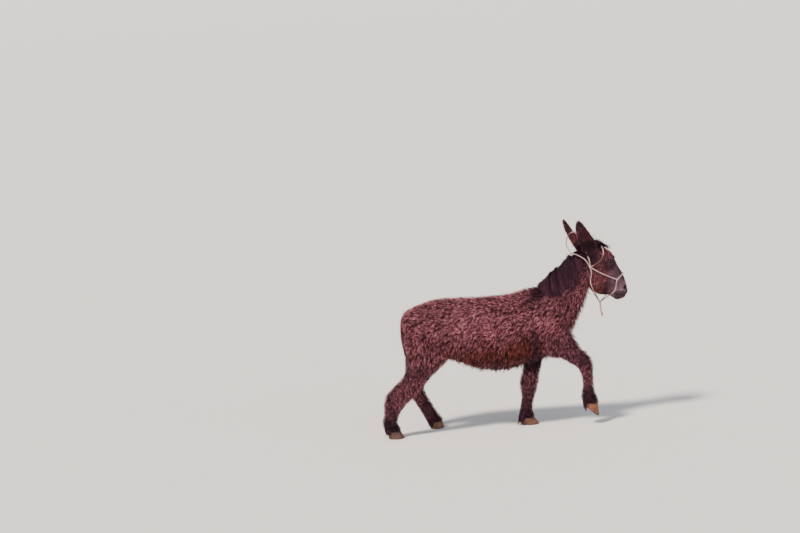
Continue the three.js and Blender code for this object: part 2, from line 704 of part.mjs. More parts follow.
// ---- halter ----
function cast(from, towards, lift) {
  const ray = new THREE.Raycaster(from, towards.clone().sub(from).normalize());
  const hit = ray.intersectObject(coreMesh)[0];
  if (!hit) throw new Error("nothing under the halter at " + from.toArray());
  return hit.point.addScaledVector(hit.face.normal, lift);
}

// The point of the surface under a place of the side view, seen from one side, or seen
// along a way in the middle plane.
function fromSide([x, z], sign, lift) {
  return castTurned([x, sign * 500, z], [x, 0, z], lift);
}

function fromFront([x, z], [dx, dz], lift) {
  return castTurned([x + 400 * dx, 0, z + 400 * dz], [x, 0, z], lift);
}

function castTurned(start, end, lift) {
  const [from, towards] = [new THREE.Vector3(...start), new THREE.Vector3(...end)];
  if (towards.x > TURN_PIVOT_X) [from, towards].forEach(turnHead);
  return cast(from, towards, lift);
}

function rope(points, radius, sides = ROPE_SIDES, step = ROPE_STEP) {
  const curve = new THREE.CatmullRomCurve3(points, false, "centripetal");
  const circle = new THREE.Shape();
  circle.absarc(0, 0, radius, 0, 2 * Math.PI);
  const section = new THREE.Shape(circle.getSpacedPoints(sides).slice(0, -1));
  const steps = Math.max(3, Math.round(curve.getLength() / step));
  return toSolid(new THREE.ExtrudeGeometry(section, { steps, extrudePath: curve }));
}

const chinKnot = turnHead(new THREE.Vector3(HALTER.chin[0], 0, HALTER.chin[1]));

// The strands' routes. Those over the neck or the nose run from one side to the other.
function ropePaths() {
  const side = (sign, list) => list.map((p) => fromSide(p, sign, ROPE_REST));
  const over = (list, top, way) => [
    ...side(-1, list),
    fromFront(top, way, ROPE_REST),
    ...side(1, list).reverse(),
  ];
  const paths = {
    crown: over(HALTER.crown, HALTER.crest, [-0.5, 1]),
    poll: over(HALTER.poll, HALTER.pollTop, [0, 1]),
    brow: over(HALTER.brow, HALTER.browTop, [0.4, 1]),
    nose: over(HALTER.nose, HALTER.bridge, [1, 0.4]),
  };
  for (const [name, sign] of SIDES) {
    paths["cheek_" + name] = side(sign, HALTER.cheek);
    paths["throat_" + name] = [...side(sign, HALTER.throat), chinKnot];
    paths["jaw_" + name] = [...side(sign, HALTER.jaw), chinKnot];
  }
  const bow = HALTER.bow.map((p) => new THREE.Vector3(...p));
  paths.bow = [paths.crown[HALTER.crown.length], ...bow, paths.poll[HALTER.poll.length]];
  return paths;
}

function knotPlaces(paths) {
  const places = { chin: chinKnot, crest: paths.bow[0], poll: paths.bow.at(-1) };
  for (const [name, sign] of SIDES) {
    places["cheek_" + name] = fromSide(HALTER.cheek[0], sign, ROPE_REST);
    places["nose_" + name] = fromSide(HALTER.cheek.at(-1), sign, ROPE_REST);
  }
  return places;
}

const knotSolid = (centre, out) => ball(centre, KNOT_RADIUS + out, ...GRIDS.knot);

// ---- nodes of the body ----
const nodes = {};
const hoofForms = {};
for (const [name, [toeX, toeZ, heelX, heelZ, halfWidth]] of Object.entries(SOLES)) {
  const [ax, az, bx, bz, y, coronetHalf] = LEGS[name].at(-1);
  const edge = new THREE.Vector2(ax - bx, az - bz).normalize();
  const down = new THREE.Vector2(edge.y, -edge.x).multiplyScalar(GAP);
  const top = [ax + down.x, az + down.y, bx + down.x, bz + down.y, y, coronetHalf, 0, 0];
  const sole = [toeX, toeZ, heelX, heelZ, y, halfWidth, HOOF_WIDEST, 0];
  const middle = top.map((value, i) => (value + sole[i]) / 2);
  hoofForms[name] = new Form([top, middle, sole], { roundStart: 0, roundEnd: 0 });
  nodes["hoof_" + name] = hoofForms[name].solid(0, ...GRIDS.hoof);
}
const grownHooves = Object.values(hoofForms).map((form) => form.solid(GAP, ...GRIDS.hoof));
const hoovesOuter = fuse(grownHooves);
const floor = new THREE.BoxGeometry(2 * REACH, 2 * REACH, REACH);
floor.translate(0, 0, FLOOR_CLEARANCE - REACH / 2);
const ropes = ropePaths();
const knots = knotPlaces(ropes);
const knotsOuter = fuse(Object.values(knots).map((centre) => knotSolid(centre, GAP)));
const ropesOuter = fuse(Object.values(ropes).map((path) => rope(path, ROPE_RADIUS + GAP)));
const earsOuter = fuse(Object.values(EARS).map((ear) => earSolid(ear, GAP)));

const clearOfHair = fuse([
  hoovesOuter,
  toSolid(floor),
  tailForm.solid(TAIL_ROOM, ...GRIDS.tail),
  ropesOuter,
  knotsOuter,
  earsOuter,
]);
const coat = fuse(hair).simplify(SMOOTHING).subtract(clearOfHair);
const flesh = core.subtract(tailForm.solid(GAP, ...GRIDS.tail)).add(coat);

for (const name of legNames) {
  const whole = flesh.intersect(legRegion(name, 0));
  const joint = LEGS[name][JOINT_SLICE[name]];
  nodes["leg_" + name] = largestBody(whole.subtract(beyondSlice(joint, GAP)));
  nodes["shank_" + name] = largestBody(whole.intersect(beyondSlice(joint, 0)));
}
const legless = legNames.reduce(
  (left, name) => left.subtract(legRegion(name, GAP)),
  flesh,
);
nodes.neck = largestBody(legless.subtract(headRegion(GAP)).intersect(neckRegion(0)));
nodes.torso = largestBody(legless.subtract(neckRegion(GAP)));
nodes.tail = largestBody(tailForm.solid(0, ...GRIDS.tail).add(fuse(tailLocks())));

// The head: its part of the body, with lids, the line of the mouth and nostrils.
let head = legless.intersect(headRegion(0));
for (const [name, sign] of SIDES) {
  const centre = eyeCentre(sign);
  nodes["eye_" + name] = ball(centre, EYE.radius, ...GRIDS.eye);
  const opening = new THREE.SphereGeometry(1, ...GRIDS.lids);
  opening.scale(...LIDS.opening);
  opening.rotateY(LIDS.slant);
  opening.rotateZ(HEAD_TURN);
  opening.translate(centre.x, centre.y + sign * LIDS.opening[1], centre.z);
  head = head.add(ball(centre, EYE.radius + LIDS.grow, ...GRIDS.eye));
  head = head.subtract(ball(centre, EYE.radius + GAP, ...GRIDS.eye)).subtract(toSolid(opening));
}
head = head.subtract(pair(NOSTRIL.at, NOSTRIL_HOLE.y, NOSTRIL_HOLE.radii, NOSTRIL.slant));
nodes.head = largestBody(head.subtract(mouthCut()));

const carriers = fuse([...bodyOf(GAP).slice(0, 3), smallForms(GAP)]);
for (const [side, ear] of Object.entries(EARS)) {
  nodes["ear_" + side] = largestBody(earSolid(ear, 0).subtract(carriers));
}

// ---- nodes of the halter ----
let taken = fuse([carriers, earsOuter, knotsOuter]);
for (const [name, path] of Object.entries(ropes)) {
  nodes["halter_" + name] = largestBody(rope(path, ROPE_RADIUS).subtract(taken));
  taken = taken.add(rope(path, ROPE_RADIUS + GAP));
}
for (const [name, centre] of Object.entries(knots)) {
  nodes["halter_knot_" + name] = largestBody(knotSolid(centre, 0).subtract(carriers));
}
const endTop = chinKnot.clone().add(new THREE.Vector3(2, 0, -KNOT_RADIUS - GAP));
const endTip = endTop.clone().add(new THREE.Vector3(12, 2, -ROPE_END_LENGTH));
const endMiddle = endTop.clone().lerp(endTip, 0.5).add(new THREE.Vector3(-3, 0, 0));
nodes.halter_end = rope([endTop, endMiddle, endTip], ROPE_END_RADIUS, 8, 12);

// ---- the model ----
function colourOf(name) {
  const kinds = ["leg", "shank", "hoof", "ear", "eye", "halter_end", "halter"];
  return COLOURS[kinds.find((word) => name.startsWith(word)) ?? name];
}

function meshOf(name, solid) {
  const geometry = geometryOf(solid);
  geometry.computeVertexNormals();
  const material = new THREE.MeshStandardMaterial({
    color: colourOf(name),
    roughness: name.startsWith("eye") ? 0.15 : 0.8,
    metalness: 0,
  });
  const mesh = new THREE.Mesh(geometry, material);
  mesh.name = name;
  return mesh;
}

const donkey = new THREE.Group();
for (const [name, solid] of Object.entries(nodes)) donkey.add(meshOf(name, solid));
const box = new THREE.Box3().setFromObject(donkey, true);
const middle = box.getCenter(new THREE.Vector3());
donkey.position.set(-middle.x, -middle.y, -box.min.z);

export default donkey;
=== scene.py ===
"""A young shaggy donkey in a rope halter: skin, coat, hooves, eyes and ropes over its solids.

Lengths in the tables are millimetres, and Blender's objects are in metres.
"""
import functools
import math

import bpy
import numpy as np
from mathutils import Matrix, Vector
from mathutils.bvhtree import BVHTree
from mathutils.kdtree import KDTree


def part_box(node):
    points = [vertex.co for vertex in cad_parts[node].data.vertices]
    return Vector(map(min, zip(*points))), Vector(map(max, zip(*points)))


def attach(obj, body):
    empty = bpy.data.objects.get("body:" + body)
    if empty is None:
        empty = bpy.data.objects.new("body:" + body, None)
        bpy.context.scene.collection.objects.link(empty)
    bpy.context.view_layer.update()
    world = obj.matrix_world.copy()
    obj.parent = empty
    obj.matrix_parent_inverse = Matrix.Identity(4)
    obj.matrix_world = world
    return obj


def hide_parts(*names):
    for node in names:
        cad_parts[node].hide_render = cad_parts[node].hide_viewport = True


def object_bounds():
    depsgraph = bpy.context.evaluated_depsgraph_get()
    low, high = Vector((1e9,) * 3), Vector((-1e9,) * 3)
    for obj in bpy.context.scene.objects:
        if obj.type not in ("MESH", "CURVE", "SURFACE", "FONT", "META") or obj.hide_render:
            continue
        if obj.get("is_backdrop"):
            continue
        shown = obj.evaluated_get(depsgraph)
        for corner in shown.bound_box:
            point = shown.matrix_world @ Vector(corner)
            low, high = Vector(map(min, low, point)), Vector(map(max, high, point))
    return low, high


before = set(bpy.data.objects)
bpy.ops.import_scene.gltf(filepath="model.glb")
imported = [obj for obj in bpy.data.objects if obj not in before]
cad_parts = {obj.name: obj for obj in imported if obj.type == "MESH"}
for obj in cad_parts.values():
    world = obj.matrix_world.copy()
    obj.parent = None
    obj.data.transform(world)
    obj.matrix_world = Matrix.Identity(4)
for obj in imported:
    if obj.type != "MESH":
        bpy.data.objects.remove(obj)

bl_info = {
    "name": "Shaggy Donkey",
    "version": (1, 0, 0),
    "blender": (4, 5, 0),
    "location": "View3D > Sidebar > Donkey",
    "description": "Makes the skin, coat, hooves, eyes and halter of a young shaggy donkey",
    "category": "Object",
}

SOLIDS_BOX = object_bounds()
IMAGE_SIZE = (800, 533)
MM = 0.001

# ---- the animal's measures, as in its solids ----
# The solids stand a little off the measures' own origin. The near hind hoof gives how far:
# its toe is at x -800 and its middle at y -158.
_low, _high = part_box("hoof_hind_right")
SHIFT = np.array([_high[0] / MM + 800, (_low[1] + _high[1]) / 2 / MM + 158, 0])
HEAD_TURN = math.radians(10)
TURN_PIVOT_X = 790

# Each slice: upper or front edge x, z; lower or back edge x, z; y; half width; how far its
# widest place is moved to the first edge; depth of coat. The edges are the coat's tips.
TORSO = [
    [-752, 985, -752, 800, 0, 95, 0, 34],
    [-738, 1040, -715, 745, 0, 160, 0, 34],
    [-660, 1085, -640, 708, 0, 205, 0.05, 34],
    [-560, 1118, -540, 670, 0, 232, 0.05, 34],
    [-450, 1143, -430, 632, 0, 245, 0, 34],
    [-310, 1144, -310, 598, 0, 256, -0.05, 36],
    [-160, 1140, -160, 533, 0, 272, -0.1, 38],
    [0, 1139, 0, 502, 0, 278, -0.12, 38],
    [130, 1146, 130, 503, 0, 268, -0.12, 38],
    [250, 1167, 240, 530, 0, 246, -0.1, 36],
    [350, 1189, 350, 560, 0, 224, -0.08, 36],
    [430, 1190, 450, 585, 0, 208, -0.05, 34],
    [510, 1165, 550, 615, 0, 192, 0, 34],
    [570, 1100, 625, 670, 0, 160, 0, 34],
    [600, 1030, 668, 745, 0, 110, 0, 34],
]
NECK = [
    [330, 1180, 600, 700, 0, 168, -0.15, 34],
    [420, 1222, 668, 785, 0, 150, -0.2, 34],
    [500, 1268, 710, 870, 0, 132, -0.2, 32],
    [575, 1318, 750, 945, 0, 117, -0.2, 32],
    [640, 1380, 783, 1015, 0, 105, -0.15, 30],
    [695, 1438, 806, 1085, 0, 96, -0.1, 28],
    [750, 1475, 835, 1140, 0, 90, 0, 24],
    [810, 1488, 870, 1200, 0, 84, 0, 18],
    [880, 1490, 900, 1240, 0, 80, 0, 14],
]
HEAD = [
    [735, 1450, 752, 1280, 0, 66, 0, 14],
    [800, 1484, 790, 1235, 0, 80, 0, 14],
    [862, 1503, 822, 1168, 0, 94, 0, 14],
    [925, 1494, 845, 1120, 0, 103, 0.1, 14],
    [985, 1462, 885, 1084, 0, 105, 0.18, 12],
    [1035, 1422, 925, 1068, 0, 98, 0.22, 10],
    [1062, 1360, 958, 1062, 0, 82, 0.18, 8],
    [1089, 1298, 984, 1056, 0, 68, 0.08, 7],
    [1119, 1240, 1002, 1048, 0, 60, 0, 6],
    [1139, 1185, 1018, 1036, 0, 57, 0, 4],
    [1150, 1130, 1036, 1024, 0, 60, 0, 3],
    [1154, 1085, 1065, 1014, 0, 56, 0, 3],
    [1143, 1042, 1100, 1014, 0, 38, 0, 3],
]
LEGS = {
    "front_right": [
        [640, 900, 400, 850, -118, 62, 0, 30],
        [668, 790, 402, 700, -135, 78, 0, 30],
        [700, 700, 440, 630, -142, 80, 0, 28],
        [728, 640, 530, 606, -142, 72, 0, 26],
        [768, 610, 605, 560, -140, 64, 0, 24],
        [800, 565, 672, 512, -138, 58, 0, 20],
        [808, 512, 706, 462, -136, 55, 0, 18],
        [806, 452, 720, 420, -135, 47, 0, 16],
        [804, 385, 727, 368, -134, 42, 0, 14],
        [806, 315, 722, 308, -134, 42, 0, 14],
        [816, 262, 706, 252, -134, 47, 0, 16],
        [828, 222, 712, 214, -134, 45, 0, 14],
        [838, 180, 724, 188, -134, 48, 0, 5],
    ],
    "front_left": [
        [560, 880, 330, 850, 118, 60, 0, 30],
        [520, 730, 285, 690, 116, 74, 0, 30],
        [450, 610, 252, 570, 104, 70, 0, 28],
        [404, 540, 243, 508, 94, 62, 0, 26],
        [376, 450, 228, 438, 80, 56, 0, 20],
        [354, 370, 204, 366, 66, 55, 0, 18],
        [336, 300, 206, 292, 58, 50, 0, 16],
        [310, 240, 212, 240, 52, 42, 0, 14],
        [292, 175, 200, 172, 46, 42, 0, 14],
        [284, 130, 188, 124, 42, 47, 0, 16],
        [290, 92, 186, 84, 38, 46, 0, 12],
        [298, 64, 190, 58, 36, 50, 0, 5],
    ],
    "hind_right": [
        [-330, 870, -768, 965, -112, 96, 0, 34],
        [-318, 725, -762, 850, -128, 98, 0, 34],
        [-372, 664, -738, 748, -138, 90, 0, 32],
        [-455, 592, -732, 652, -143, 80, 0, 28],
        [-530, 530, -748, 572, -146, 70, 0, 24],
        [-602, 450, -796, 502, -149, 58, 0, 22],
        [-684, 370, -864, 440, -152, 52, 0, 20],
        [-757, 304, -930, 372, -154, 52, 0, 18],
        [-808, 250, -950, 318, -155, 46, 0, 16],
        [-840, 204, -955, 252, -156, 42, 0, 14],
        [-856, 165, -962, 196, -157, 43, 0, 14],
        [-860, 130, -976, 142, -158, 48, 0, 16],
        [-848, 96, -962, 92, -158, 46, 0, 12],
        [-838, 70, -948, 60, -158, 49, 0, 5],
    ],
    "hind_left": [
        [-340, 860, -750, 900, 112, 94, 0, 34],
        [-370, 720, -752, 790, 128, 94, 0, 34],
        [-420, 630, -752, 680, 136, 86, 0, 32],
        [-500, 540, -756, 580, 141, 74, 0, 28],
        [-570, 455, -765, 480, 144, 60, 0, 24],
        [-612, 385, -772, 400, 147, 55, 0, 20],
        [-608, 325, -752, 340, 148, 52, 0, 18],
        [-584, 262, -706, 268, 149, 46, 0, 16],
        [-554, 205, -664, 196, 150, 42, 0, 14],
        [-528, 155, -636, 138, 150, 43, 0, 14],
        [-502, 115, -616, 98, 151, 48, 0, 16],
        [-484, 86, -600, 74, 152, 47, 0, 12],
        [-476, 66, -588, 56, 152, 48, 0, 5],
    ],
}
# Each hoof's sole: toe x, z; heel x, z; half width.
SOLES = {
    "front_right": [842, 52, 718, 172, 60],
    "front_left": [345, 0, 194, 0, 60],
    "hind_right": [-800, 0, -938, 0, 58],
    "hind_left": [-460, 0, -584, 0, 56],
}
HOOF_WIDEST = 0.1
SOLE_CLEARANCE = 0.2  # over the floor, in mm
TAIL = [
    [-726, 1040, -706, 990, 0, 26, 0, 8],
    [-763, 1000, -730, 972, 0, 25, 0, 10],
    [-780, 940, -738, 936, 0, 24, 0, 12],
    [-782, 860, -740, 860, 0, 22, 0, 12],
    [-770, 780, -730, 776, 0, 20, 0, 12],
    [-750, 700, -710, 694, 0, 22, 0, 14],
    [-742, 610, -690, 604, 0, 27, 0, 22],
    [-738, 520, -686, 518, 0, 27, 0, 24],
    [-722, 440, -698, 440, 0, 12, 0, 10],
]
EARS = {
    "right": {"base": (874, -58, 1420), "tip": (745, -118, 1714), "faces": (0.5, -0.85, 0.2)},
    "left": {"base": (842, 58, 1425), "tip": (678, 108, 1708), "faces": (0.85, -0.4, 0.35)},
}
EAR = {
    "half_width": 76,
    "half_depth": 30,
    "bend": 14,
    "wall": 5,
    "wrap": 118,  # how far the cup closes at its base, in degrees to each side
    "opens": 46,  # how much less at its tip
    "fold": 2.5,
    "coat": 12.0,
}
EAR_RINGS, EAR_SIDES = 45, 31  # points of an ear's cup along it and from edge to edge
# Rounded forms of the head: place in the side view, distance from its middle, radii, slant.
HEAD_BULBS = [
    ((1020, 1385), 50, (31, 19, 18), 0.0),
    ((908, 1200), 58, (66, 24, 100), 0.35),
    ((1122, 1128), 29, (23, 15, 18), -0.5),
    ((1066, 1034), 0, (32, 27, 21), 0.0),
]
# Which way the hair lies on each form, in the side view.
LIE = {
    "torso": (-0.75, -0.66),
    "neck": (-0.45, -0.9),
    "leg": (-0.2, -0.98),
    "tail": (-0.1, -1.0),
}
# The halter's strands in the side view, from knot to knot, and its bow in space.
HALTER = {
    "crown": [(831, 1325), (797, 1385), (760, 1420), (734, 1430)],
    "crest": (700, 1440),
    "poll": [(831, 1325), (828, 1385), (808, 1450)],
    "poll_top": (796, 1490),
    "brow": [(831, 1325), (885, 1352), (930, 1390), (952, 1440)],
    "brow_top": (945, 1485),
    "cheek": [(831, 1325), (878, 1290), (925, 1262), (990, 1226), (1053, 1193)],
    "nose": [(1053, 1193), (1085, 1213)],
    "bridge": (1116, 1230),
    "jaw": [(1053, 1193), (1046, 1160), (1040, 1127), (1025, 1090)],
    "throat": [(831, 1325), (840, 1270), (834, 1220), (842, 1160)],
    "chin": (915, 1005),
    "bow": [
        (672, 8, 1490),
        (664, 16, 1530),
        (680, 24, 1582),
        (716, 26, 1612),
        (752, 24, 1600),
    ],
}
HALTER_BACK = 600  # the halter lies ahead of this x
ROPE_RADIUS = 4.5
ROPE_REST = ROPE_RADIUS + 3  # of a strand's middle over the pressed coat
ROPE_STEP = 4
PLY_RADIUS, PLY_OFFSET = 0.54, 0.46  # of the rope's radius
KNOT_RADIUS = 11
FREE_END = {"length": 105, "radius": 8.5}
FLOOR_CLEARANCE = 4  # of the coat's lowest tips, in mm
SEEDS = {
    "coat": 20,
    "turns": 5,
    "ears": 5,
    "mane": 31,
    "feather": 47,
    "lashes": 13,
    "patches": 3,
    "streaks": 4,
    "scuffs": 9,
}

# Where each form lies on the coat's unwrap: left, bottom, width, height.
UNWRAP = {
    "torso": (0.01, 0.01, 0.48, 0.48),
    "neck": (0.51, 0.01, 0.23, 0.48),
    "front_right": (0.76, 0.01, 0.11, 0.48),
    "front_left": (0.88, 0.01, 0.11, 0.48),
    "head": (0.01, 0.51, 0.3, 0.48),
    "hind_right": (0.33, 0.51, 0.13, 0.48),
    "hind_left": (0.47, 0.51, 0.13, 0.48),
    "tail": (0.62, 0.51, 0.07, 0.3),
    "ear_right": (0.71, 0.51, 0.13, 0.48),
    "ear_left": (0.86, 0.51, 0.13, 0.48),
}
TUFT_PATCH = 0.003  # a tuft's size on the unwrap


# ---- colours ----
def linear(code):
    """The linear colour of an sRGB hex value."""
    parts = [int(code[i : i + 2], 16) / 255 for i in (1, 3, 5)]
    return tuple(c / 12.92 if c <= 0.04045 else ((c + 0.055) / 1.055) ** 2.4 for c in parts)


# ---- forms ----
def unit(vectors):
    return vectors / np.maximum(np.linalg.norm(vectors, axis=-1, keepdims=True), 1e-9)


def cubic(p0, p1, p2, p3, f):
    """Between p1 and p2 at share f of the way, smooth through the points beside them."""
    v0, v1 = (p2 - p0) / 2, (p3 - p1) / 2
    high = (2 * p1 - 2 * p2 + v0 + v1) * f**3
    return high + (3 * p2 - 3 * p1 - 2 * v0 - v1) * f**2 + v0 * f + p1


def kd_tree(points):
    """A tree that finds the nearest of the points by its number."""
    tree = KDTree(len(points))
    for number, point in enumerate(points):
        tree.insert(point, number)
    tree.balance()
    return tree


def turn_head(points):
    """The turn of the head to its left about the upright line where it meets the neck."""
    x, y, z = np.moveaxis(np.asarray(points, float), -1, 0)
    ahead = (x - TURN_PIVOT_X) / math.cos(HEAD_TURN)
    turned_x = TURN_PIVOT_X + ahead * math.cos(HEAD_TURN) - y * math.sin(HEAD_TURN)
    turned_y = ahead * math.sin(HEAD_TURN) + y * math.cos(HEAD_TURN)
    return np.stack([turned_x, turned_y, z], -1)


class Form:
    """A form through the slices of a table, smooth between them."""

    def __init__(self, rows, round_start=0.1, round_end=0.1, share=1.0):
        self.rows = np.array(rows, float)
        self.round_start = round_start
        self.round_end = round_end
        self.share = share  # of the coat's depth, from its tips in to the skin

    def slices(self, t):
        """The table's values at share t of the length."""
        last = len(self.rows) - 1
        place = np.clip(t, 0, 1) * last
        i = np.minimum(place.astype(int), last - 1)
        f = (place - i)[..., None]
        return cubic(*(self.rows[np.clip(i + k, 0, last)] for k in (-1, 0, 1, 2)), f)

    def at(self, t, phi, rise=0.0, share=None):
        """Points at share t of the length and angle phi from the first edge."""
        t, phi = np.broadcast_arrays(np.asarray(t, float), np.asarray(phi, float))
        ax, az, bx, bz, y, half, widest, coat = np.moveaxis(self.slices(t), -1, 0)
        out = rise - (self.share if share is None else share) * coat
        depth = np.hypot(ax - bx, az - bz)
        up = np.stack([ax - bx, az - bz], -1) / depth[..., None]
        ring = self.closing(t, self.round_start)
        ring = np.minimum(ring, self.closing(1 - t, self.round_end))
        ahead, behind = self.slices(t + 0.01), self.slices(t - 0.01)
        run = (ahead - behind)[..., :2] + (ahead - behind)[..., 2:4]
        along = np.stack([-up[..., 1], up[..., 0]], -1)
        along *= np.where((along * run).sum(-1) < 0, -1, 1)[..., None]
        push = np.sqrt(np.clip(1 - ring**2, 0, 1)) * out * np.where(t < 0.5, -1, 1)
        c = np.cos(phi)
        v = (c + widest * (1 - c * c)) * ring * (depth / 2 + out)
        x = (ax + bx) / 2 + up[..., 0] * v + along[..., 0] * push
        z = (az + bz) / 2 + up[..., 1] * v + along[..., 1] * push
        return np.stack([x, y + ring * (half + out) * np.sin(phi), z], -1)

    @staticmethod
    def closing(share, span):
        """How wide a rounded end is at a share of the length, 0 to 1."""
        if span == 0:
            return np.ones_like(share)
        return np.sqrt(np.clip(1 - (1 - np.clip(share / span, 0, 1)) ** 2, 0, 1))

    def surface(self, sides, rings, share=None):
        """A closed grid of points and its quads."""
        t = np.linspace(0, 1, rings + 1)[:, None]
        return closed_grid(self.at(t, round_angles(sides), share=share))


def round_angles(sides):
    """A row of even angles once round."""
    return np.arange(sides)[None, :] / sides * 2 * math.pi


def tube_quads(rings, sides):
    """The quads between the rings of a tube."""
    a = np.arange((rings - 1) * sides).reshape(-1, sides)
    b = np.roll(a, -1, axis=1)
    return np.stack([a, b, b + sides, a + sides], -1).reshape(-1, 4)


def closed_grid(grid):
    """Points and quads of a tube of rings, closed by a fan at each end."""
    rings, sides, _ = grid.shape
    ends = np.stack([grid[0].mean(0), grid[-1].mean(0)])
    points = np.concatenate([grid.reshape(-1, 3), ends])
    quads = tube_quads(rings, sides)
    first, last = rings * sides, rings * sides + 1
    side = np.arange(0, sides, 2)
    nxt, after = (side + 1) % sides, (side + 2) % sides
    start = np.stack([np.full_like(side, first), after, nxt, side], -1)
    base = (rings - 1) * sides
    end = np.stack([np.full_like(side, last), side + base, nxt + base, after + base], -1)
    return points, np.concatenate([quads, start, end])


def bulb(place, y, radii, slant, sides=24, rings=16):
    """A closed ellipsoid at a side-view place, leaning in the side view."""
    theta = np.linspace(0, math.pi, rings + 1)[:, None]
    phi = round_angles(sides)
    x = radii[0] * np.sin(theta) * np.cos(phi)
    v = radii[1] * np.sin(theta) * np.sin(phi)
    z = radii[2] * np.cos(theta) * np.ones_like(phi)
    c, s = math.cos(slant), math.sin(slant)
    grid = np.stack([x * c + z * s + place[0], v + y, z * c - x * s + place[1]], -1)
    return closed_grid(grid)


def merged(parts):
    """Several sets of points and quads as one."""
    points, quads, count = [], [], 0
    for part, faces in parts:
        points.append(part)
        quads.append(faces + count)
        count += len(part)
    return np.concatenate(points), np.concatenate(quads)


TORSO_FORM = Form(TORSO)
NECK_FORM = Form(NECK, round_start=0.12)
HEAD_FORM = Form(HEAD, round_start=0.15, round_end=0.08, share=0.6)
TAIL_FORM = Form(TAIL, round_end=0.14, share=0.7)
LEG_FORMS = {name: Form(rows, 0.12, 0, 0.72) for name, rows in LEGS.items()}


def head_bulbs(grow=0.0):
    """The rounded forms of both sides of the head."""
    parts = []
    for place, y, radii, slant in HEAD_BULBS:
        grown = [r + grow for r in radii]
        parts += [bulb(place, sign * y, grown, slant) for sign in ((-1, 1) if y else (1,))]
    return parts


def to_metres(points):
    return (points + SHIFT) * MM


# ---- ears ----
def ear_frame(ear):
    """An ear's base, tip and axis, the way it opens and the way across it."""
    base, tip = (turn_head(np.array(ear[end], float)) for end in ("base", "tip"))
    axis = unit(tip - base)
    opening = np.array(ear["faces"])
    opening = unit(opening - axis * (opening @ axis))
    return base, tip, axis, opening, np.cross(opening, axis)


def ear_points(ear, s, a, inwards=0.0):
    """Points of an ear's cup: s from base to tip, a from edge to edge round its back."""
    base, tip, _, opening, across = ear_frame(ear)
    high = np.clip(s, 0, 1)
    leaf = np.minimum(1, 0.6 + 2 * high) * (1 - 0.54 * high**1.6) * np.sqrt(1 - high**12)
    half = np.maximum((EAR["half_width"] * leaf - inwards) * np.clip(s * 12, 0.7, 1), 0.5)
    depth = (EAR["half_depth"] * np.sqrt(np.clip(1.02 - s, 0, 1)) - inwards) * 1.1
    wrap = math.radians(EAR["wrap"]) - math.radians(EAR["opens"]) * s
    angle = a * wrap
    x = half * np.sin(angle) / np.maximum(np.sin(np.minimum(wrap, math.pi / 2)), 0.1)
    y = -np.maximum(depth, 0.5) * np.cos(angle) - EAR["bend"] * np.sin(math.pi * s)
    # A soft fold runs down the back.
    y = y - EAR["fold"] * np.cos(a * 9) * np.sin(math.pi * s)
    line = base + (tip - base) * s[..., None]
    return line + across * x[..., None] + opening * y[..., None]


def ear_shell(ear):
    """A thin closed cup: its outside, its inside and the rim between them."""
    s = np.linspace(-0.04, 0.995, EAR_RINGS)[:, None]
    s, a = np.broadcast_arrays(s, np.linspace(-1, 1, EAR_SIDES)[None, :])
    inner = ear_points(ear, s, a * 0.97, EAR["wall"])
    return closed_grid(np.concatenate([ear_points(ear, s, a), inner[:, ::-1]], 1))


# ---- the face's modelling ----
# Soft strokes on the head: place in the side view, distance from the middle, radii, slant,
# and how far the skin moves out. All are on both sides.
FACE_STROKES = [
    ((997, 1342), 86, (36, 40, 30), 0.4, 3.0),  # the rim of the orbit
    ((998, 1344), 86, (19, 40, 13), -0.42, -12.0),  # the socket behind the lids
    ((1010, 1375), 74, (28, 30, 10), -0.3, 4.0),  # the fold over the eye
    ((964, 1408), 80, (26, 34, 16), 0.4, -7.0),  # the hollow above it
    ((995, 1306), 86, (30, 30, 9), 0.3, -4.0),  # the crease under it
    ((992, 1262), 84, (52, 26, 10), 0.95, 8.0),  # the crest of the cheek bone
    ((1072, 1262), 54, (20, 26, 58), -0.45, -8.0),  # the hollow beside the nose
    ((1102, 1258), 30, (11, 16, 88), -0.45, 4.0),  # the edge of the nose bone
    ((935, 1150), 84, (60, 30, 14), 0.9, -6.0),  # the hollow in front of the jaw
    ((872, 1150), 70, (16, 30, 70), 0.2, 5.0),  # the jaw's rounded edge
    ((1145, 1126), 36, (9, 16, 22), -0.35, 6.0),  # the front wing of the nostril
    ((1104, 1124), 50, (9, 16, 24), -0.5, 5.0),  # its back wing
    ((1125, 1116), 46, (10.5, 28, 20), -0.5, -22.0),  # the nostril
    ((1109, 1143), 50, (7, 20, 15), -1.1, -13.0),  # its comma's tail
    ((1094, 1160), 50, (12, 20, 30), -0.5, -3.0),  # behind the nostril
    ((1142, 1078), 22, (22, 34, 16), 0.0, 4.0),  # the full upper lip
    ((1110, 1036), 22, (26, 30, 10), 0.2, 3.5),  # the lower lip
    ((1070, 1030), 16, (24, 26, 18), 0.0, 4.0),  # the chin
    ((1058, 1080), 52, (10, 20, 12), 0.0, 3.0),  # the corner of the mouth
]
MOUTH = {"line": [(1066, 1070), (1090, 1060), (1118, 1052), (1154, 1046)], "width": 2.6}
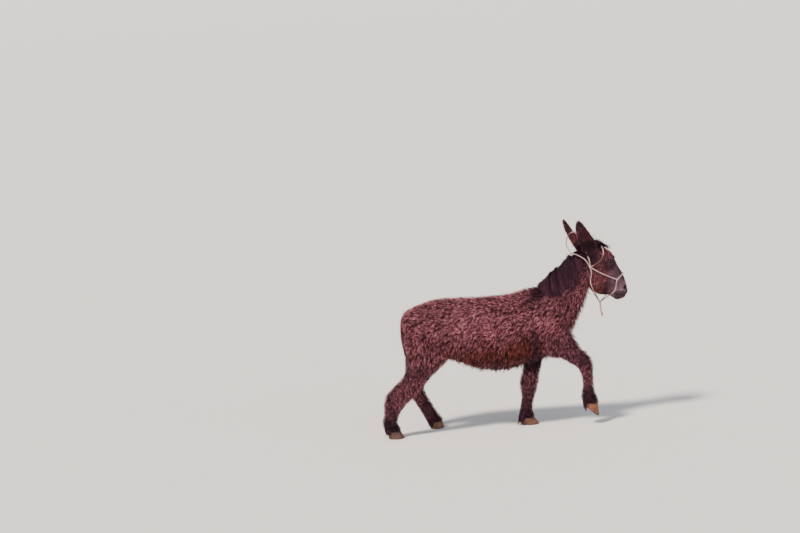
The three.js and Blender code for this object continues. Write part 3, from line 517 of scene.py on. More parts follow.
# Fine folds: a line in the side view, its width and its depth.
FOLDS = [
    ([(1098, 1120), (1092, 1098), (1080, 1082)], 3.0, 1.6),
    ([(1086, 1140), (1078, 1112), (1066, 1094)], 3.2, 1.2),
    ([(1040, 1092), (1046, 1078), (1046, 1062)], 3.0, 1.8),
    ([(969, 1378), (995, 1386), (1023, 1380)], 2.6, 1.6),
    ([(967, 1322), (991, 1316), (1015, 1320)], 2.6, 1.4),
    ([(973, 1310), (995, 1302), (1019, 1308)], 2.6, 1.0),
]
EYE = {
    "radius": 20.0,
    "sink": 0.5,
    "half_width": 18.8,
    "half_height": 11.6,
    "slant": 0.42,
    "looks": (0.3, 0.93, 0.14),  # ahead, outwards, up
    "lids": (35, 31),  # half width and half height of the lids' outer edge
}


def away_from_line(x, z, line):
    """The least distance of side-view points from a line of points."""
    nearest = np.full(x.shape, np.inf)
    for (x1, z1), (x2, z2) in zip(line, line[1:]):
        dx, dz = x2 - x1, z2 - z1
        f = np.clip(((x - x1) * dx + (z - z1) * dz) / (dx * dx + dz * dz), 0, 1)
        nearest = np.minimum(nearest, np.hypot(x - x1 - f * dx, z - z1 - f * dz))
    return nearest


def model_face(points, normals):
    """Moves the head's skin along its normals by the strokes, folds and the mouth line."""
    x, y, z = points.T
    move = np.zeros(len(points))
    for (cx, cz), cy, radii, slant, amount in FACE_STROKES:
        c, s = math.cos(slant), math.sin(slant)
        for sign in (-1, 1):
            dx, dy, dz = x - cx, y - sign * cy, z - cz
            a, b = (dx * c + dz * s) / radii[0], (dz * c - dx * s) / radii[2]
            move += amount * np.exp(-(a * a + (dy / radii[1]) ** 2 + b * b))
    for line, width, depth in FOLDS:
        move -= depth * np.exp(-((away_from_line(x, z, line) / width) ** 2))
    lips = np.exp(-((away_from_line(x, z, MOUTH["line"]) / MOUTH["width"]) ** 2))
    move -= (2.0 + 4.0 * smooth(x, 1062, 1100)) * lips
    return points + normals * move[:, None]


def eye_place(side):
    """The middle of an eyeball and the way it looks, in mm before the shift."""
    low, high = (np.array(corner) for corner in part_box("eye_" + side))
    centre = (low + high) / 2 / MM - SHIFT
    sign = -1 if side == "right" else 1
    ahead, outwards, up = EYE["looks"]
    way = turn_head(np.array([TURN_PIVOT_X + ahead, sign * outwards, up]))
    way = unit(way - np.array([TURN_PIVOT_X, 0, 0]))
    return centre - way * EYE["sink"], way


def eye_axes(side):
    """Towards the eye's front corner, upwards, and out, for one eye."""
    centre, out = eye_place(side)
    slant = EYE["slant"]
    front = np.array([math.cos(slant), 0, -math.sin(slant)])
    front = unit(front - out * (front @ out))
    up = np.cross(out, front) if side == "right" else np.cross(front, out)
    if up[2] < 0:
        up = -up
    return centre, front, up, out


def lids(side):
    """The lids of an eye: a rim that fits the ball, rising out of the skin round it."""
    centre, front, up, out = eye_axes(side)
    psi = round_angles(56)
    upper = np.clip(np.sin(psi), 0, 1)
    opening_x = EYE["half_width"] * np.cos(psi)
    opening_y = EYE["half_height"] * np.sin(psi) * (1 - 0.3 * np.cos(psi) ** 2)
    reach = np.array([0, 0.02, 0.1, 0.24, 0.4, 0.56, 0.72, 0.87, 1.0])[:, None]
    v = np.linspace(0, 1, len(reach))[:, None]
    edge_x, edge_y = EYE["lids"]
    x = opening_x * (1 - reach) + edge_x * np.cos(psi) * reach
    y = opening_y * (1 - reach) + edge_y * np.sin(psi) * reach
    flat = np.hypot(x, y)
    ball = np.sqrt(np.clip((EYE["radius"] + 0.4) ** 2 - flat**2, 1, None))
    lip = np.array([0, 1.6, 3.2, 3.6, 3.4, 2.6, 0.5, -2.5, -7.0])[:, None]
    # The upper lid is thicker, with a fold above it.
    lip = lip * (1 + 0.35 * upper) + 1.3 * upper * np.exp(-(((v - 0.62) / 0.12) ** 2))
    crease = -1.4 * np.exp(-(((v - 0.45) / 0.07) ** 2)) * (0.35 + upper)
    settled = np.where(flat > EYE["radius"] - 2, np.maximum(ball, 8.5 - 0.1 * flat), ball)
    height = settled + lip + crease
    grid = centre + front * x[..., None] + up * y[..., None] + out * height[..., None]
    return grid.reshape(-1, 3), tube_quads(*grid.shape[:2])


# ---- markings and painted shade ----
def smooth(value, low, high):
    """A soft step from 0 at low to 1 at high."""
    f = np.clip((value - low) / (high - low), 0, 1)
    return f * f * (3 - 2 * f)


def wander(points, size, seed):
    """A smooth value from about -1 to 1 that varies over a length in mm."""
    rng = np.random.default_rng(seed)
    total = np.zeros(points.shape[:-1])
    for _ in range(7):
        way = rng.normal(size=3)
        way = way / np.linalg.norm(way) * (2 * math.pi / size) * rng.uniform(0.6, 1.5)
        total = total + np.sin(points @ way + rng.uniform(0, 2 * math.pi))
    return total / 3.0


def markings_and_shade(points):
    """The coat's colour at points in mm: how dark, how warm and how bare it is, 0 to 1. Its
    darkness also holds painted shade behind the elbow, inside the legs, under the belly and in
    the hollow under the cheek.
    """
    x, y, z = np.moveaxis(points, -1, 0)
    patch = wander(points, 160, SEEDS["patches"])
    fine = wander(points, 55, SEEDS["streaks"])
    hoofward = (1 - smooth(z + 20 * fine, 60, 470)) * 0.92
    lifted = (1 - smooth(z + 16 * fine, 270, 450)) * smooth(x, 600, 660) * 0.95
    # Painted shade in the crease behind the elbow.
    elbow_crease_shade = away_from_line(x, z, [(356, 850), (350, 740), (338, 610)])
    elbow_crease_shade = (1 - smooth(elbow_crease_shade + 8 * fine, 6, 48)) * 0.75
    # Painted shade on the inner sides of the legs, where the belly shades them.
    inner = (1 - smooth(abs(y), 80, 132)) * smooth(z, 400, 540) * (1 - smooth(z, 700, 820))
    inner = inner * np.maximum(smooth(x, 200, 260), smooth(-x, 330, 400)) * 0.95
    limb = (1 - smooth(z, 420, 760)) * smooth(-x, 480, 560) * 0.3
    arm = (1 - smooth(z, 620, 920)) * smooth(x, 380, 470) * 0.32
    crest_x = [300, 400, 500, 600, 700, 760, 880]
    crest_z = np.interp(x, crest_x, [1190, 1216, 1268, 1340, 1440, 1478, 1500])
    crest = smooth(z + 14 * fine, crest_z - 215, crest_z - 110)
    crest = crest * smooth(x, 270, 430) * (1 - smooth(x, 900, 960))
    crest = crest * (1 - smooth(z, crest_z + 20, crest_z + 70) * smooth(x, 600, 660))
    above = smooth(z, crest_z + 20, crest_z + 70) * smooth(x, 600, 660)
    ears = above * (0.14 + 0.62 * smooth(z, 1610, 1700) + 0.24 * fine)
    bridge = (1 - smooth(away_from_line(x, z, [(1058, 1372), (1150, 1160)]), 4, 36)) * 0.8
    eyes = (1 - smooth(np.hypot(x - 1006, (z - 1336) * 1.1), 34, 88)) * 0.95
    # Painted shade in the hollow under the cheek.
    groove = away_from_line(x, z, [(985, 1180), (962, 1100)])
    jaw = (1 - smooth(groove, 10, 34)) * smooth(x, 850, 890) * 0.8
    # Painted shade under the belly.
    under = (1 - smooth(z - 12 * fine, 570, 690)) * smooth(z, 480, 540) * 0.6
    legs = [hoofward, lifted, inner, elbow_crease_shade, limb, arm]
    dark = np.maximum.reduce([*legs, crest * 0.9, ears, bridge, eyes, jaw, under])
    dark = np.clip(dark + 0.1 * patch, 0, 1)
    low = (1 - smooth(z + 34 * patch, 690, 880)) * smooth(z, 440, 520)
    low = low * smooth(x, -560, -330) * (1 - smooth(x, 330, 480))
    flank = smooth(x, -520, -380) * (1 - smooth(x, -200, 0)) * (1 - smooth(z, 640, 860)) * 0.6
    cheek = (1 - smooth(np.hypot((x - 925) / 1.1, z - 1235), 60, 140)) * smooth(x, 830, 880)
    throat = (1 - smooth(z, 1130, 1230)) * smooth(x, 830, 880) * (1 - smooth(x, 970, 1020))
    brow = 1 - smooth(np.hypot(x - 985, z - 1450), 30, 90)
    warm = np.maximum.reduce([low, flank, cheek * 0.3, throat * 0.8, brow * 0.5, above * 0.6])
    muzzle = smooth(x * 0.5 - z * 0.86, -512, -424) * smooth(x, 980, 1030)
    violet = smooth(x + 12 * fine, 968, 1030) * (1 - smooth(z, 1370, 1410)) * 0.72
    lip = np.maximum(1 - smooth(z, 1066, 1104), smooth(x + 8 * fine, 1130, 1168))
    lip = lip * smooth(x, 1020, 1070) * (1 - smooth(z, 1200, 1260)) * 0.6
    violet = violet * (1 - 0.8 * np.maximum(eyes, bridge))
    muzzle = np.maximum(muzzle * 0.85, violet) * (1 - lip)
    dark = np.maximum(dark, lip)
    return dark, np.clip(warm, 0, 1) * (1 - dark * 0.6), muzzle


# ---- where a place is on the forms ----
class Places:
    """Points over the skin of all forms, with the coat's lie and depth and the unwrap."""

    def __init__(self):
        self.names, lists = [], {key: [] for key in "point dt dphi lie coat form uv size".split()}
        forms = [("torso", TORSO_FORM), ("neck", NECK_FORM), ("head", HEAD_FORM)]
        forms += [("tail", TAIL_FORM), *LEG_FORMS.items()]
        for name, form in forms:
            self.add_form(name, form, lists)
        for side, ear in EARS.items():
            self.add_ear("ear_" + side, ear, lists)
        for key, parts in lists.items():
            setattr(self, key, np.concatenate(parts))
        self.tree = kd_tree(self.point)

    def add(self, name, at, t, phi, lie, coat, lists):
        left, bottom, width, height = UNWRAP[name]
        t, phi = (grid.ravel() for grid in np.broadcast_arrays(t, phi))
        small = 0.004
        lists["point"].append(at(t, phi))
        lists["dt"].append((at(t + small, phi) - at(t - small, phi)) / (2 * small))
        lists["dphi"].append((at(t, phi + small) - at(t, phi - small)) / (2 * small))
        lists["lie"].append(np.broadcast_to(lie, (len(t), 3)) if np.ndim(lie) == 1 else lie)
        lists["coat"].append(np.broadcast_to(coat, len(t)))
        lists["form"].append(np.full(len(t), len(self.names)))
        # An ear is unwrapped from edge to edge, the other forms once round.
        first, whole = (-1, 2) if name.startswith("ear") else (0, 2 * math.pi)
        span = (phi - first) / whole
        lists["uv"].append(np.stack([left + width * span, bottom + height * t], -1))
        lists["size"].append(np.tile([width / whole, height], (len(t), 1)))
        self.names.append(name)

    def add_form(self, name, form, lists):
        rings, sides = (110, 64) if name in ("torso", "head") else (90, 44)
        t = (np.arange(rings)[:, None] + 0.5) / rings
        phi = (np.arange(sides)[None, :] + 0.5) / sides * 2 * math.pi
        turn = turn_head if name == "head" else lambda points: points
        at = lambda a, b: turn(form.at(a, b))
        flat_t, flat_phi = (grid.ravel() for grid in np.broadcast_arrays(t, phi))
        coat = form.slices(flat_t)[:, 7]
        side_lie = LIE.get(name, LIE["leg"])
        lie = np.array([side_lie[0], 0, side_lie[1]])
        if name == "torso":
            low = smooth(-np.cos(flat_phi), -0.2, 0.75)[:, None]
            lie = np.array([-0.8, 0, -0.6]) * (1 - low) + np.array([-0.12, 0, -0.99]) * low
        if name == "head":
            back = ((1 - np.cos(flat_phi)) / 2)[:, None]
            lie = np.array([0.45, 0, -0.9]) * (1 - back) + np.array([-0.3, 0, -0.95]) * back
            lie = lie + np.array([0, 0.5, 0]) * np.sin(flat_phi)[:, None] * (1 - back)
        self.add(name, at, t, phi, lie, coat, lists)

    def add_ear(self, name, ear, lists):
        _, _, axis, _, _ = ear_frame(ear)
        t = (np.arange(50)[:, None] + 0.5) / 50
        a = (np.arange(30)[None, :] + 0.5) / 15 - 1
        self.add(name, lambda s, b: ear_points(ear, s, b), t, a, axis, EAR["coat"], lists)

    def near(self, points):
        """The nearest of the places to each point."""
        find = self.tree.find
        return np.array([find(point)[1] for point in points])

    def unwrapped(self, points, index):
        """Unwrap coordinates of points close to the places of that index."""
        move = points - self.point[index]
        a, b = self.dt[index], self.dphi[index]
        aa, ab, bb = ((p * q).sum(-1) for p, q in ((a, a), (a, b), (b, b)))
        p, q = (a * move).sum(-1), (b * move).sum(-1)
        scale = 1 / np.maximum(aa * bb - ab * ab, 1e-3)
        dt = np.clip((bb * p - ab * q) * scale, -0.03, 0.03)
        dphi = np.clip((aa * q - ab * p) * scale, -0.3, 0.3)
        size = self.size[index]
        return self.uv[index] + np.stack([dphi * size[..., 0], dt * size[..., 1]], -1)


@functools.cache
def places():
    return Places()


# ---- meshes ----
def mesh_object(name, points, faces, material, uv=None, marks=None, bare=None):
    """A mesh of points in mm and faces of one number of corners, with its colour marks."""
    mesh = bpy.data.meshes.new(name)
    corners = faces.shape[1]
    mesh.vertices.add(len(points))
    mesh.vertices.foreach_set("co", to_metres(points).astype(np.float32).ravel())
    mesh.loops.add(faces.size)
    mesh.loops.foreach_set("vertex_index", faces.astype(np.int32).ravel())
    mesh.polygons.add(len(faces))
    mesh.polygons.foreach_set("loop_start", np.arange(0, faces.size, corners, dtype=np.int32))
    mesh.update(calc_edges=True)
    mesh.shade_smooth()
    if bare is not None:
        layer = mesh.attributes.new("bare", "FLOAT", "POINT")
        layer.data.foreach_set("value", bare.astype(np.float32))
    if marks is not None:
        layer = mesh.color_attributes.new("marks", "FLOAT_COLOR", "POINT")
        layer.data.foreach_set("color", marks.astype(np.float32).ravel())
    if uv is not None:
        layer = mesh.uv_layers.new(name="OFBake")
        layer.uv.foreach_set("vector", uv.astype(np.float32).ravel())
    mesh.materials.append(material)
    thing = bpy.data.objects.new(name, mesh)
    bpy.context.scene.collection.objects.link(thing)
    return thing


def mesh_values(mesh):
    """Places in metres, normals and quads of a mesh."""
    place, normal = np.empty((2, len(mesh.vertices) * 3), np.float32)
    mesh.vertices.foreach_get("co", place)
    mesh.vertices.foreach_get("normal", normal)
    corners = np.empty(len(mesh.loops), np.int32)
    mesh.loops.foreach_get("vertex_index", corners)
    return place.reshape(-1, 3), normal.reshape(-1, 3).astype(float), corners.reshape(-1, 4)


def remeshed(points, quads, voxel, passes):
    """The one closed surface round overlapping closed forms, with soft joins."""
    thing = mesh_object("forms", points, quads, None)
    remesh = thing.modifiers.new("one surface", "REMESH")
    remesh.mode = "VOXEL"
    remesh.voxel_size = voxel * MM
    soft = thing.modifiers.new("soft joins", "SMOOTH")
    soft.factor = 0.5
    soft.iterations = passes
    evaluated = thing.evaluated_get(bpy.context.evaluated_depsgraph_get())
    place, normal, corners = mesh_values(evaluated.to_mesh())
    evaluated.to_mesh_clear()
    old = thing.data
    bpy.data.objects.remove(thing)
    bpy.data.meshes.remove(old)
    return (place / MM - SHIFT).astype(float), normal, corners


def riding(thing, slot, *nodes):
    """The piece goes with the model and hides the solids it stands for; its slot is not used."""
    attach(thing, "root")
    if nodes:
        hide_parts(*nodes)


def tapered(spine, outward, half_width, half_depth, taper):
    """Closed three-sided strands along spines (count, steps, 3), ending in a point."""
    count, steps, _ = spine.shape
    along = unit(np.gradient(spine, axis=1))
    across = unit(np.cross(along, outward[:, None, :]))
    raised = np.cross(across, along)
    width = half_width[:, None, None] * taper[None, :-1, None]
    depth = half_depth[:, None, None] * taper[None, :-1, None]
    body = spine[:, :-1]
    left = body - across[:, :-1] * width - raised[:, :-1] * depth * 0.4
    right = body + across[:, :-1] * width - raised[:, :-1] * depth * 0.4
    top = body + raised[:, :-1] * depth
    rings = np.stack([left, right, top], 2).reshape(count, -1, 3)
    points = np.concatenate([rings, spine[:, -1:]], 1)
    faces = [[0, 2, 1]]
    for ring in range(steps - 2):
        for j in range(3):
            a, b = 3 * ring + j, 3 * ring + (j + 1) % 3
            faces += [[a, b, b + 3], [a, b + 3, a + 3]]
    tip = 3 * (steps - 1)
    faces += [[tip - 3 + j, tip - 3 + (j + 1) % 3, tip] for j in range(3)]
    each = points.shape[1]
    faces = (np.array(faces)[None] + np.arange(count)[:, None, None] * each).reshape(-1, 3)
    along_share = np.append(np.repeat(np.linspace(0, 1, steps)[:-1], 3), 1.0)
    sideways = np.append(np.tile([-0.5, 0.5, 0.0], steps - 1), 0.0)
    patch = np.stack([sideways, along_share - 0.5], -1) * TUFT_PATCH
    return points, faces, along_share, patch


def hair_object(name, material, slot, spine, outward, half_width, half_depth, taper, shade):
    """A piece of coat from spines in mm, marked and unwrapped by its roots."""
    points, faces, share, patch = tapered(spine, outward, half_width, half_depth, taper)
    roots = spine[:, 0]
    index = places().near(roots)
    root_uv = places().unwrapped(roots, index)
    uv = (root_uv[:, None] + patch[None]).reshape(-1, 2)
    dark, warm, muzzle = markings_and_shade(roots)
    bare = np.repeat(muzzle, points.shape[1])
    marks = np.empty(points.shape[:2] + (4,))
    marks[..., 0] = np.clip(dark + shade[1], 0, 1)[:, None]
    marks[..., 1] = np.clip(warm + shade[2], 0, 1)[:, None]
    marks[..., 2] = np.clip(0.5 + 0.5 * shade[0], 0, 1)[:, None]
    marks[..., 3] = share[None]
    points = points.reshape(-1, 3)
    points[:, 2] = np.maximum(points[:, 2], FLOOR_CLEARANCE)
    marks = marks.reshape(-1, 4)
    thing = mesh_object(name, points, faces, material, uv[faces.ravel()], marks, bare)
    riding(thing, slot)


# ---- materials ----
def add(tree, kind, links=None, **settings):
    """One node with its settings. Its inputs get values, the outputs of other nodes, or
    nodes, which stand for their first open output."""
    node = tree.nodes.new(kind)
    for name, value in settings.items():
        setattr(node, name, value)
    for name, value in (links or {}).items():
        socket = node.inputs[name]
        if isinstance(value, bpy.types.Node):
            value = next(output for output in value.outputs if output.enabled)
        if isinstance(value, bpy.types.NodeSocket):
            tree.links.new(value, socket)
        else:
            socket.default_value = (*value[:3], 1.0) if socket.type == "RGBA" else value
    return node


def new_material(name):
    """A material without nodes, and its tree."""
    material = bpy.data.materials.new(name)
    material.use_nodes = True
    material.node_tree.nodes.clear()
    return material, material.node_tree


def marked(tree):
    """The marks of a mesh, whole and by channel, and places on the piece in metres."""
    marks = add(tree, "ShaderNodeAttribute", attribute_name="marks")
    split = add(tree, "ShaderNodeSeparateColor", {"Color": marks})
    return marks, *split.outputs[:3], add(tree, "ShaderNodeTexCoord").outputs["Object"]


def coat_material(name, look):
    """Curly guard hair over wool, left dull by lanolin and dust, with paler, rosy, sun-bleached
    ends. Painted shade darkens each tuft towards its roots, where little light comes."""
    material, tree = new_material(name)
    marks, red, green, blue, place = marked(tree)
    # Locks of one tone are about 60 mm across. Hairs are drawn 4 mm apart, to show.
    lock = add(tree, "ShaderNodeTexNoise", {"Vector": place, "Scale": 1 / 0.06, "Detail": 3.0})
    strand = add(
        tree, "ShaderNodeTexNoise", {"Vector": place, "Scale": 1 / 0.004, "Detail": 2.0}
    )
    body = add(
        tree,
        "ShaderNodeMix",
        {"Factor": green, "A": look.body_colour, "B": look.warm_colour},
        data_type="RGBA",
    )
    ends = add(
        tree,
        "ShaderNodeMix",
        {"Factor": green, "A": look.tip_colour, "B": look.warm_tip_colour},
        data_type="RGBA",
    )
    pointed = add(
        tree,
        "ShaderNodeMapRange",
        {"Value": marks.outputs["Alpha"], "From Min": 0.35, "To Min": 0.0, "To Max": 0.8},
    )
    bleached = add(
        tree, "ShaderNodeMix", {"Factor": pointed, "A": body, "B": ends}, data_type="RGBA"
    )
    dark = add(
        tree,
        "ShaderNodeMix",
        {"Factor": pointed, "A": look.dark_colour, "B": look.dark_tip_colour},
        data_type="RGBA",
    )
    shaded = add(
        tree, "ShaderNodeMix", {"Factor": red, "A": bleached, "B": dark}, data_type="RGBA"
    )
    bare = add(tree, "ShaderNodeAttribute", attribute_name="bare")
    velvet = add(
        tree,
        "ShaderNodeMix",
        {"Factor": bare.outputs["Fac"], "A": shaded, "B": look.muzzle_colour},
        data_type="RGBA",
    )
    # How light a hair is: by its lock, by its tuft, and by painted shade that darkens it deep in
    # the coat.
    tone = add(
        tree,
        "ShaderNodeMapRange",
        {"Value": lock, "From Min": 0.3, "From Max": 0.7, "To Min": 0.82, "To Max": 1.18},
    )
    tuft = add(tree, "ShaderNodeMapRange", {"Value": blue, "To Min": 0.1, "To Max": 2.3})
    depth = add(
        tree,
        "ShaderNodeMapRange",
        {"Value": marks.outputs["Alpha"], "From Max": 0.85, "To Min": 0.06, "To Max": 1.0},
    )
    light = add(tree, "ShaderNodeMath", {0: tone, 1: tuft}, operation="MULTIPLY")
    lightness = add(tree, "ShaderNodeMath", {0: light, 1: depth}, operation="MULTIPLY")
    deep = add(
        tree, "ShaderNodeVectorMath", {0: velvet, "Scale": lightness}, operation="SCALE"
    )
    bump = add(
        tree, "ShaderNodeBump", {"Height": strand, "Strength": 0.35, "Distance": 0.0015}
    )
    surface = add(
        tree,
        "ShaderNodeBsdfPrincipled",
        {
            "Base Color": deep,
            "Roughness": 0.62,
            "Specular IOR Level": 0.25,
            "Specular Tint": look.sheen_colour,
            "Sheen Weight": 0.06,
            "Sheen Roughness": 0.45,
            "Sheen Tint": look.sheen_colour,
            "Normal": bump,
        },
    )
    add(tree, "ShaderNodeOutputMaterial", {"Surface": surface})
    return material


def skin_material(name, look):
    """Short flat hair over skin, and bare velvety skin on the muzzle, lids and nostrils."""
    material, tree = new_material(name)
    marks, red, green, blue, place = marked(tree)
    # Short hairs lie in streaks about 3 mm apart.
    hairs = add(
        tree, "ShaderNodeTexNoise", {"Vector": place, "Scale": 1 / 0.003, "Detail": 3.0}
    )
    patches = add(
        tree, "ShaderNodeTexNoise", {"Vector": place, "Scale": 1 / 0.03, "Detail": 4.0}
    )
    body = add(
        tree,
        "ShaderNodeMix",
        {"Factor": green, "A": look.body_colour, "B": look.warm_colour},
        data_type="RGBA",
    )
    shaded = add(
        tree,
        "ShaderNodeMix",
        {"Factor": red, "A": body, "B": look.dark_colour},
        data_type="RGBA",
    )
    bare = add(
        tree,
        "ShaderNodeMix",
        {"Factor": blue, "A": shaded, "B": look.muzzle_colour},
        data_type="RGBA",
    )
    tone = add(
        tree,
        "ShaderNodeMapRange",
        {"Value": patches, "From Min": 0.3, "From Max": 0.7, "To Min": 0.7, "To Max": 1.1},
    )
    toned = add(tree, "ShaderNodeVectorMath", {0: bare, "Scale": tone}, operation="SCALE")
    # The marks' alpha darkens the colour with painted shade in the nostrils, along the mouth and
    # under the coat.
    hollow = add(
        tree,
        "ShaderNodeVectorMath",
        {0: toned, "Scale": marks.outputs["Alpha"]},
        operation="SCALE",
    )
    bump = add(tree, "ShaderNodeBump", {"Height": hairs, "Strength": 0.5, "Distance": 0.001})
    surface = add(
        tree,
        "ShaderNodeBsdfPrincipled",
        {
            "Base Color": hollow,
            "Roughness": 0.6,
            "Specular IOR Level": 0.22,
            "Sheen Weight": 0.05,
            "Sheen Roughness": 0.4,
            "Sheen Tint": look.sheen_colour,
            "Normal": bump,
        },
    )
    add(tree, "ShaderNodeOutputMaterial", {"Surface": surface})
    return material


def horn_material(name, look):
    """Hoof horn: grown downwards in fine tubes, ringed by the seasons, worn dull."""
    material, tree = new_material(name)
    _, red, _, _, place = marked(tree)
    # The tubes of the horn run down the wall about 1 mm apart, drawn at 2 mm to show.
    stretch = add(
        tree, "ShaderNodeMapping", {"Vector": place, "Scale": (1 / 0.002, 1 / 0.002, 1 / 0.05)}
    )
    tubes = add(tree, "ShaderNodeTexNoise", {"Vector": stretch, "Scale": 1.0})
    stain = add(
        tree, "ShaderNodeTexNoise", {"Vector": place, "Scale": 1 / 0.025, "Detail": 4.0}
    )
    wall = add(
        tree,
        "ShaderNodeMix",
        {"Factor": red, "A": look.horn_colour, "B": look.horn_dark_colour},
        data_type="RGBA",
    )
    tone = add(
        tree,
        "ShaderNodeMapRange",
        {"Value": stain, "From Min": 0.3, "From Max": 0.7, "To Min": 0.4, "To Max": 1.25},
    )
    toned = add(tree, "ShaderNodeVectorMath", {0: wall, "Scale": tone}, operation="SCALE")
    bump = add(tree, "ShaderNodeBump", {"Height": tubes, "Strength": 0.4, "Distance": 0.0008})
    surface = add(
        tree,
        "ShaderNodeBsdfPrincipled",
        {"Base Color": toned, "Roughness": 0.55, "IOR": 1.54, "Normal": bump},
    )
    add(tree, "ShaderNodeOutputMaterial", {"Surface": surface})
    return material


def eye_material(name, look):
    """A wet eye: brown iris round a wide dark pupil, under a clear smooth cornea."""
    material, tree = new_material(name)
    _, red, green, _, place = marked(tree)
    # The iris has threads of about 0.5 mm, drawn at 1.2 mm to show.
    threads = add(
        tree, "ShaderNodeTexNoise", {"Vector": place, "Scale": 1 / 0.0012, "Detail": 2.0}
    )
    iris = add(
        tree,
        "ShaderNodeMix",
        {"Factor": threads, "A": look.iris_colour, "B": linear("#1c0f0a")},
        data_type="RGBA",
    )
    ball = add(
        tree,
        "ShaderNodeMix",
        {"Factor": red, "A": linear("#3a2a26"), "B": iris},
        data_type="RGBA",
    )
    pupil = add(
        tree,
        "ShaderNodeMix",
        {"Factor": green, "A": ball, "B": linear("#050507")},
        data_type="RGBA",
    )
    surface = add(
        tree,
        "ShaderNodeBsdfPrincipled",
        {"Base Color": pupil, "Roughness": 0.06, "IOR": 1.38, "Specular IOR Level": 0.28},
    )
    add(tree, "ShaderNodeOutputMaterial", {"Surface": surface})
    return material


def rope_material(name, colour, darkened):
    """Laid polyester cord: each ply of fine filaments, matt, greyed in patches where it is
    handled, and darkened with painted shade under the jaw and at the back of the bow."""
    material, tree = new_material(name)
    _, red, _, _, place = marked(tree)
    # Filaments are about 0.3 mm, drawn at 1.6 mm to show.
    filaments = add(
        tree, "ShaderNodeTexNoise", {"Vector": place, "Scale": 1 / 0.0016, "Detail": 2.0}
    )
    dirt = add(
        tree, "ShaderNodeTexNoise", {"Vector": place, "Scale": 1 / 0.035, "Detail": 4.0}
    )
    amount = add(
        tree,
        "ShaderNodeMapRange",
        {"Value": dirt, "From Min": 0.4, "From Max": 0.75, "To Min": 0.0, "To Max": 0.6},
    )
    # Patches of dirt, and the painted shade that the marks carry.
    dirt_and_shade = add(tree, "ShaderNodeMath", {0: amount, 1: red}, operation="MAXIMUM")
    cord = add(
        tree, "ShaderNodeMix", {"Factor": dirt_and_shade, "A": colour, "B": darkened}, data_type="RGBA"
    )
    bump = add(
        tree, "ShaderNodeBump", {"Height": filaments, "Strength": 0.5, "Distance": 0.0006}
    )
    surface = add(
        tree,
        "ShaderNodeBsdfPrincipled",
        {"Base Color": cord, "Roughness": 0.75, "Sheen Weight": 0.2, "Normal": bump},
    )
    add(tree, "ShaderNodeOutputMaterial", {"Surface": surface})
    return material


def floor_material(colour):
    """Matt rolled paper, with a tooth too fine to see but for how it scatters light."""
    material, tree = new_material("studio paper")
    place = add(tree, "ShaderNodeTexCoord").outputs["Object"]
    tooth = add(tree, "ShaderNodeTexNoise", {"Vector": place, "Scale": 1 / 0.004})
    bump = add(tree, "ShaderNodeBump", {"Height": tooth, "Strength": 0.05, "Distance": 0.0005})
    surface = add(
        tree,
        "ShaderNodeBsdfPrincipled",
        {"Base Color": colour, "Roughness": 0.9, "Normal": bump},
    )
    add(tree, "ShaderNodeOutputMaterial", {"Surface": surface})
    return material


def kept(name, make, *looks):
    """A material by name, made once."""
    return bpy.data.materials.get(name) or make(name, *looks)


# ---- settings ----
def length_property(name, description, length):
    return bpy.props.FloatProperty(
        name=name, description=description, default=length, unit="LENGTH", subtype="DISTANCE"
    )


def colour_property(name, description, code):
    return bpy.props.FloatVectorProperty(
        name=name, description=description, subtype="COLOR", size=3, default=linear(code)
    )


class DonkeyLook(bpy.types.PropertyGroup):
    body_colour: colour_property("Body", "Coat of the body", "#6e212b")
    warm_colour: colour_property("Warm", "Rusty coat of the belly and flank", "#541f17")
    # The dark colour also paints the shade behind the elbow, inside the legs, under the belly and
    # under the cheek.
    dark_colour: colour_property("Dark", "Mane, lower legs and nose", "#200e16")
    dark_tip_colour: colour_property("Dark tips", "Ends of the dark hair", "#4b2735")
    tip_colour: colour_property("Tips", "Bleached ends of the hair", "#cf95a3")
    warm_tip_colour: colour_property("Warm tips", "Bleached ends of rusty hair", "#8c4a38")
    sheen_colour: colour_property("Sheen", "Light that the fine hair scatters", "#d2b2d0")
    muzzle_colour: colour_property("Muzzle", "Bare skin of the muzzle", "#7a606a")
    horn_colour: colour_property("Horn", "Wall of the hooves", "#7a4226")
    horn_dark_colour: colour_property("Dark horn", "Worn toes and soles", "#33241f")
    iris_colour: colour_property("Iris", "Iris of the eyes", "#2a170f")


class DonkeyCoat(bpy.types.PropertyGroup):
    cover: bpy.props.FloatProperty(
        name="Cover", description="How many tufts lie over each place", default=3.5, min=0.5
    )
    clump: bpy.props.FloatProperty(
        name="Clumping", description="How far tufts lean together", default=0.62, min=0, max=1
    )
    curl: length_property("Curl", "How far a tuft of the body waves to each side", 0.007)
    mane: length_property("Mane", "How far the mane hangs down the neck's side", 0.24)


class DonkeyHalter(bpy.types.PropertyGroup):
    rope_colour: colour_property("Rope", "Cord of the halter", "#c2a2a4")
    # Soil on the cord, and also the painted shade of the strands under the jaw and at the back of
    # the bow.
    soil_and_shade_colour: colour_property("Soil", "Where the cord is handled", "#523733")
    end_colour: colour_property("Free end", "The brown end under the chin", "#bf938a")
    lay: length_property("Lay", "Length in which a ply goes once round the rope", 0.03)


class DonkeyStage(bpy.types.PropertyGroup):
    floor_colour: colour_property("Floor", "Paper under the animal", "#dedbd6")
    key: bpy.props.FloatProperty(
        name="Key", description="Strength of the large soft lamp", default=5.8, min=0
    )


